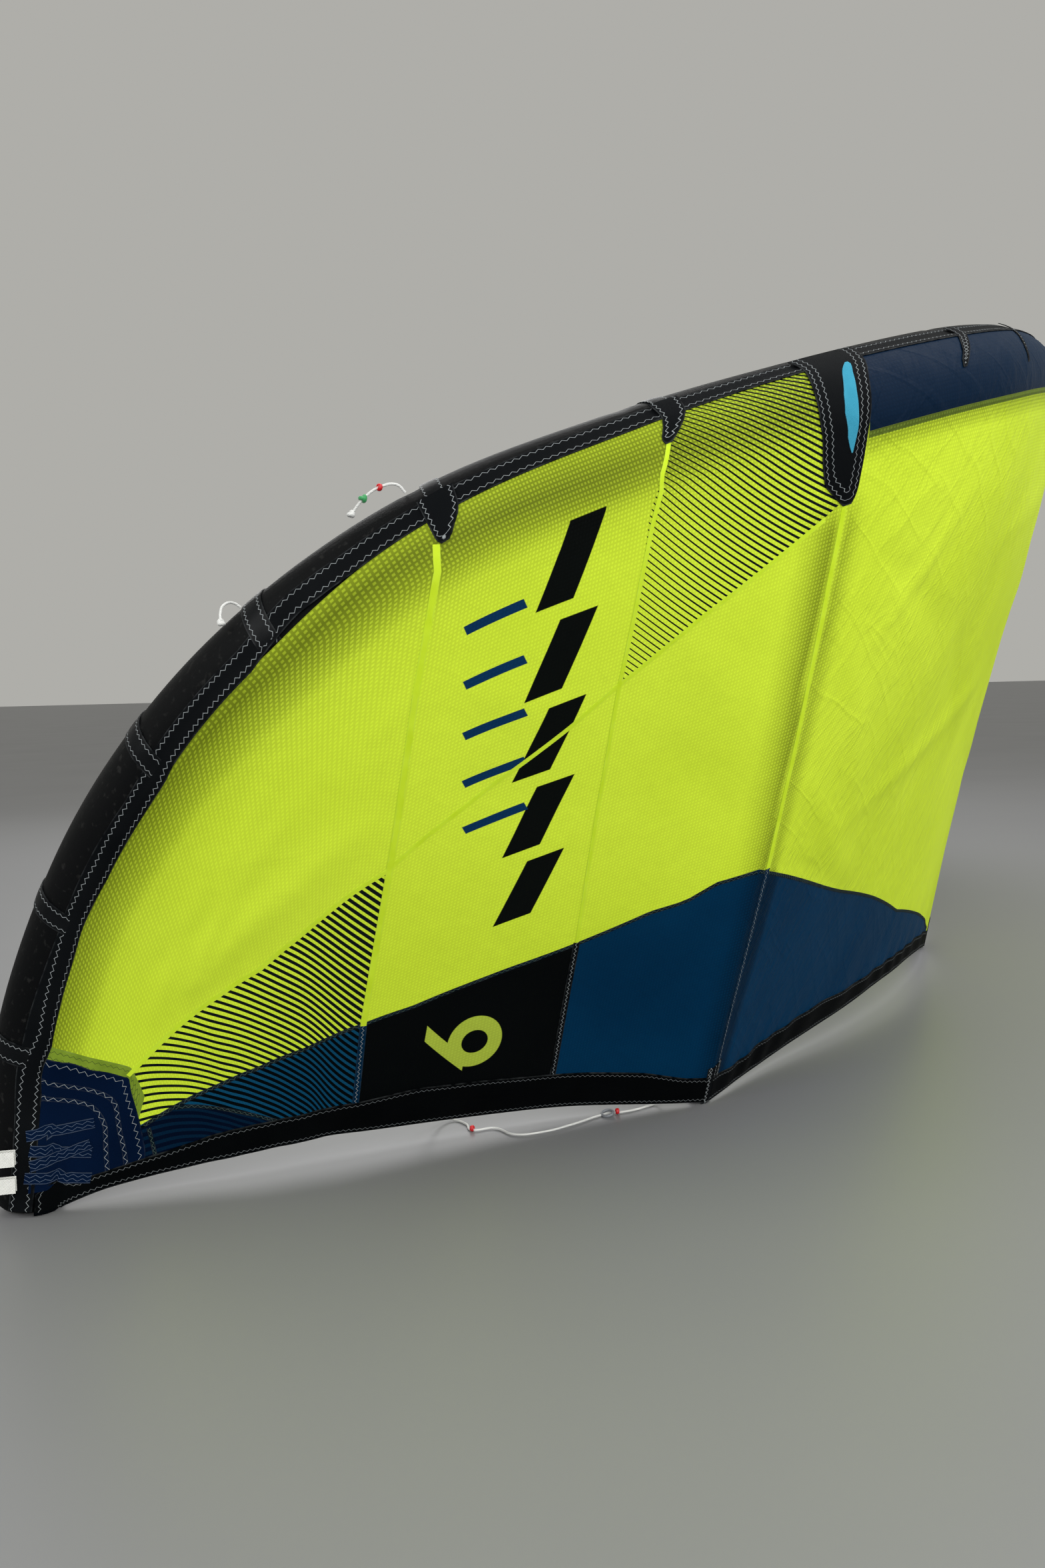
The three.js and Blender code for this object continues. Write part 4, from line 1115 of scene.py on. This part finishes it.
def ring_strap(station, side, half=15.0, columns=5, lift=1.9):
    """Strap round the tube at a joint, from the flap round to where the cloth leaves the tube."""
    here = Section(np.array([float(station)]))
    start = math.degrees(here.seam[0]) + 2
    stop = 360 + math.degrees(here.leave[0]) - 6
    angles = np.linspace(start, stop, 56)
    s, angle = np.meshgrid(station + np.linspace(-half, half, columns), angles, indexing="ij")
    crown = lift + 0.5 * np.cos((s - station) / half * np.pi / 2) + 0.15 * np.sin(np.radians(angle) * 23)
    points = tube_point(s, angle, crown)
    run = np.radians(angle - start) * RADIUS(station) * MM
    across = (s - station) * MM
    edge = half * MM - np.abs(across)
    points[..., 2] = np.maximum(points[..., 2], 0.8)
    return Weave(place(points[:, ::-1], side), {"sewn": np.stack([run, across, edge], -1)[:, ::-1]})


def hem_zone_line(first, last):
    """Line of (station, arc) along the upper edge of the dark hem zone."""
    stations = np.unique(np.concatenate([np.arange(first, last, 24.0), [last]]).astype(float))
    here = Section(stations)
    return list(zip(stations, here.wrap + here.length * HEM_TOP(stations) + 4))


def corner_line():
    stations = np.append(np.arange(2850, 3630, 20.0), 3640.0)
    here = Section(stations)
    return list(zip(stations, here.wrap + here.length * CORNER_TOP(stations)))


def flap_lift(arc):
    """The flap lies on the tube and steps up onto the cloth's edge."""
    return np.interp(arc, [-14, -2], [-1.7, 2.2])


def hem_lift(arc):
    return np.full(arc.shape, 2.5)


def trim_sewer(finishes, word, side):
    """Makes the function that sews one piece of trim on one half."""
    def add(name, weaves, thickness, key, slot, nodes=()):
        piece = sew(f"{name}_{word}", weaves, thickness, turned=side < 0)
        finish_piece(piece, finishes[key], [f"{n}_{word}" for n in nodes], TRIM_SMOOTH_BY)
    return add


def sew_edges(add, side):
    """Flap along the tube and hem band along the trailing edge."""
    flap_at = np.unique(np.concatenate([spread(0, 4178, 15), np.array(JOINTS, float)]))
    lower = FLAP_EDGE(flap_at)
    upper = np.minimum(lower - 38, np.interp(flap_at, [0, 3600, 4186], [-38, -22, -30]))
    flap = along_edge(flap_at, upper, lower, flap_lift, side, 9)
    add("flap", [flap], 0.0011, "flap", "strap_black", ["seam_flap"])
    hem_at = spread(0, 4180, 15)
    whole = whole_arc(hem_at)
    hem = along_edge(hem_at, np.maximum(whole - BAND_TOP(hem_at), 1.0), whole - 0.5, hem_lift, side, 6)
    add("hem", [hem], 0.0038, "hem", "strap_black", ["hem_band"])


def sew_tapes(add, side):
    """Bright tapes over the seams, and the stitched seams below them in the dark zone."""
    lines = [("outer", OUTER_LINE, 34.0, 1140, OUTER_SEAM, 5.2, ["tape_outer"]),
             ("inner", INNER_LINE, 36.0, 1316, INNER_SEAM, 3.2, ["tape_inner"]),
             ("strut", STRUT_LINE, 216.0, 1368, SIDE_STRUT - 25, 5.2, [])]
    for part, line_at, first, last, station, half, nodes in lines:
        here = Section(np.array([station]))
        turn = float(here.wrap[0] + here.length[0] * HEM_TOP(station))
        upper = np.append(np.arange(first, turn - 6, 14.0), turn)
        lower = np.append(np.arange(turn, last, 14.0), last)
        add(f"{part}_tape", [strip([(line_at(a), a) for a in upper], half, 1.2, side)], 0.0009, "tape",
            "tape_lime", nodes)
        add(f"{part}_low_seam", [strip([(line_at(a), a) for a in lower], 6.0, 1.2, side)], 0.0008,
            f"{part}_low", "strap_black")
    stations = np.append(np.arange(2186, 3700, 18.0), 3722)
    here = Section(stations)
    slanted = list(zip(stations, here.wrap + DIAGONAL(stations) * here.length))
    add("diagonal_tape", [strip(slanted, 3.6, 1.1, side)], 0.0008, "diagonal", "tape_lime",
        ["tape_diagonal"])
    zone_lines = [hem_zone_line(2806, 3756), hem_zone_line(0, 2800), corner_line()]
    add("hem_zone_stitching", [strip(line, 3.4, 1.0, side) for line in zone_lines], 0.0006, "zone_stitch",
        "canopy")


def sew_patches(add, side):
    """Strut patch with its inlay, seam tabs and the side strut's foot."""
    add("strut_patch_piece", [patch(STRUT_PATCH, 2.5, side)], 0.0012, "patch", "strap_black",
        ["strut_patch"])
    add("inlay_piece", [patch(INLAY, 3.4, side, step=5)], 0.0010, "inlay", "inlay_cyan", ["inlay"])
    for name, outline, nodes in (("outer_tab", OUTER_TAB, ["seam_tab_outer"]),
                                 ("inner_tab", INNER_TAB, ["seam_tab_inner"]),
                                 ("first_tab", FIRST_TAB, []), ("second_tab", SECOND_TAB, [])):
        add(name, [patch(outline, 2.3, side, step=6)], 0.0011, "tab", "strap_black", nodes)
    foot = strut_foot(SIDE_STRUT - 15, side)
    add("foot_patch", [foot], 0.0012, "foot", "strap_black", ["strut_foot"])


def sew_tip(add, side):
    """Wing tip patch with its stitching, overlap and sewn straps."""
    add("tip_patch_piece", [tip_patch(side)], 0.0010, "tip", "patch_navy", ["tip_patch"])
    curves = [strip(line, 4.0, 1.8, side, step=6) for line in TIP_CURVES]
    add("tip_stitching", curves, 0.0005, "tip_stitch", "patch_navy")
    add("tip_overlap_piece", [patch(TIP_OVERLAP, 0.9, side, step=7)], 0.0005, "overlap", "canopy")
    outer_curve = strip(TIP_OUTER_CURVE, 3.4, 1.2, side, step=6)
    add("tip_outer_stitching", [outer_curve], 0.0005, "zone_stitch", "canopy")
    straps = [strip(line, 9.5, 2.7 + 0.6 * (k == 2), side, step=8, columns=5)
              for k, line in enumerate(TIP_STRAPS)]
    add("tip_straps", straps, 0.0009, "tip_strap", "patch_navy")


def sew_straps(add, side):
    """Straps round the tube at its joints and at the seam tabs."""
    straps = [ring_strap(station, side, 18.5) for station in JOINTS]
    add("joint_straps", straps, 0.0014, "joint", "strap_black", [f"joint_strap_{k}" for k in (1, 2, 3, 4)])
    for n, station in enumerate((OUTER_SEAM - 26, INNER_SEAM - 54)):
        add(f"tab_strap_{n + 1}", [ring_strap(station, side, 13)], 0.0012, "joint", "strap_black")


def build_trim(finishes):
    """Everything sewn on the cloth and round the tube, side by side."""
    for word, side in SIDES.items():
        add = trim_sewer(finishes, word, side)
        for sew_part in (sew_edges, sew_tapes, sew_patches, sew_tip, sew_straps):
            sew_part(add, side)
    centre = sew("centre_patch_piece", [patch(CENTRE_PATCH, 2.5, 1)], 0.0012)
    finish_piece(centre, finishes["patch"], ["strut_patch_centre"], TRIM_SMOOTH_BY)
    foot = sew("centre_foot", [strut_foot(0.0, 1)], 0.0012)
    finish_piece(foot, finishes["foot"], ["strut_foot_centre"], TRIM_SMOOTH_BY)


# Floor and light
def set_stage():
    bpy.ops.mesh.primitive_plane_add(size=400, location=(0, 0, 0))
    floor = bpy.context.active_object
    floor.name = "floor"
    finish = Finish("studio_floor", Roughness=0.4)
    cloud = finish.noise(finish.inside(), 0.8, 3)
    finish.put("Base Color", finish.mix(cloud, paint(118, 119, 121), paint(124, 124, 126)))
    finish.put("Roughness", cloud * 0.1 + 0.38)
    floor.data.materials.append(finish.material)
    world = bpy.data.worlds.new("studio")
    world.use_nodes = True
    world.node_tree.nodes["Background"].inputs[0].default_value = paint(188, 187, 182)
    world.node_tree.nodes["Background"].inputs[1].default_value = 0.85
    scene.world = world
    for name, at, aim, size, power in (
            ("window", (-6.0, 4.5, 4.5), (-1.0, 0.2, 0.7), 5.0, 230),
            ("front", (-7.2, -2.0, 2.0), (-0.6, 0.0, 0.9), 4.0, 215),
            ("right", (-3.2, -6.8, 2.6), (-0.4, -0.5, 0.8), 4.0, 175),
            ("ceiling", (-1.0, -2.5, 5.5), (-0.5, 0.0, 0.5), 6.0, 260),
            ("back", (3.5, 2.5, 4.0), (0.0, 0.0, 0.6), 4.0, 120)):
        light = bpy.data.lights.new(name, "AREA")
        light.size, light.energy = size, power
        lamp = bpy.data.objects.new(name, light)
        lamp.location = at
        lamp.rotation_mode = "QUATERNION"
        lamp.rotation_quaternion = (Vector(aim) - Vector(at)).to_track_quat("-Z", "Y")
        scene.collection.objects.link(lamp)


# The whole kite
def trim_finishes():
    """The cloths and webbings of everything sewn on, by the name that the trim calls them."""
    black, soft_black = paint(7, 9, 11), paint(13, 15, 17)
    navy, soft_navy = paint(2, 14, 36), paint(4, 20, 46)
    lime, soft_lime = paint(184, 211, 38), paint(196, 223, 52)
    return {
        "flap": stitched("flap_black", black, soft_black, [0.008, 0.032], swing=0.0025, pitch=0.0122),
        "hem": stitched("hem_black", paint(2, 3, 4), paint(5, 7, 8), [], on_edge=[0.007],
                        thread=paint(116, 121, 123)),
        "tape": stitched("seam_tape", lime, soft_lime, [], tone=30),
        "diagonal": stitched("diagonal_tape_lime", lime, soft_lime, [], tone=24),
        "overlap": stitched("overlap_olive", paint(104, 128, 38), paint(122, 146, 46), [], tone=60,
                            on_edge=[0.0075], thread=paint(50, 66, 34)),
        "outer_low": stitched("outer_seam_teal", paint(1, 30, 52), paint(2, 36, 60), [0.0]),
        "inner_low": stitched("inner_seam_black", paint(3, 6, 8), soft_black, [0.0]),
        "strut_low": stitched("strut_seam_teal", paint(1, 26, 46), paint(2, 34, 56), [0.0]),
        "zone_stitch": stitched("hem_zone_seam", paint(6, 12, 16), paint(4, 22, 34), [0.0],
                                thread=paint(74, 92, 84)),
        "patch": stitched("strut_patch_black", black, soft_black, [], on_edge=[0.007, 0.019], tone=14),
        "tab": stitched("tab_black", black, soft_black, [], on_edge=[0.006]),
        "foot": stitched("foot_black", black, soft_black, [-0.012, 0.0, 0.012], on_edge=[0.004]),
        "tip": stitched("tip_navy", navy, soft_navy, [], on_edge=[0.009], swing=0.003, pitch=0.0156),
        "tip_stitch": stitched("tip_navy_stitched", navy, soft_navy, [0.0], swing=0.003, pitch=0.0156),
        "tip_strap": stitched("tip_strap_navy", paint(3, 16, 40), paint(5, 22, 48), [-0.0035, 0.0035],
                              thread=paint(84, 98, 118), swing=0.0022, pitch=0.0156, straight=[0.0009]),
        "inlay": stitched("inlay_cyan_cloth", paint(50, 132, 158), paint(58, 142, 168), [], tone=40),
        "joint": stitched("joint_gloss", black, soft_black, [-0.012, 0.012], roughness=0.32, coat=0.05,
                          swing=0.0018),
    }


def make_kite():
    set_camera()
    red = moulded("bead_plastic", paint(196, 22, 30), paint(168, 14, 22))
    ring_grey = moulded("ring_plastic", paint(120, 124, 128), paint(96, 99, 104), 0.3)
    line = braided("line_white", paint(216, 216, 212), paint(176, 178, 176))
    green = braided("line_green", paint(40, 150, 80), paint(24, 112, 58))
    lay_lines(line, red, ring_grey, green)
    finishes = trim_finishes()
    build_tube(smooth_tube("tube_cloth", paint(6, 7, 8), paint(11, 12, 13)))
    strut_cloth = smooth_tube("strut_cloth", paint(8, 9, 10), paint(13, 14, 15))
    build_strut("centre_strut", 0.0, CENTRE_STRUT_RADIUS, 1, strut_cloth, ["strut_centre"])
    for word, side in SIDES.items():
        build_strut(f"side_strut_{word}", SIDE_STRUT, SIDE_STRUT_RADIUS, side, strut_cloth,
                    [f"strut_side_{word}"])
    canopy, area = build_canopy(canopy_cloth())
    build_trim(finishes)
    loops = loop_webbing()
    for name, node in cad.items():
        if name.startswith("webbing_loop"):
            node.data.materials.clear()
            node.data.materials.append(loops)


make_kite()
set_stage()
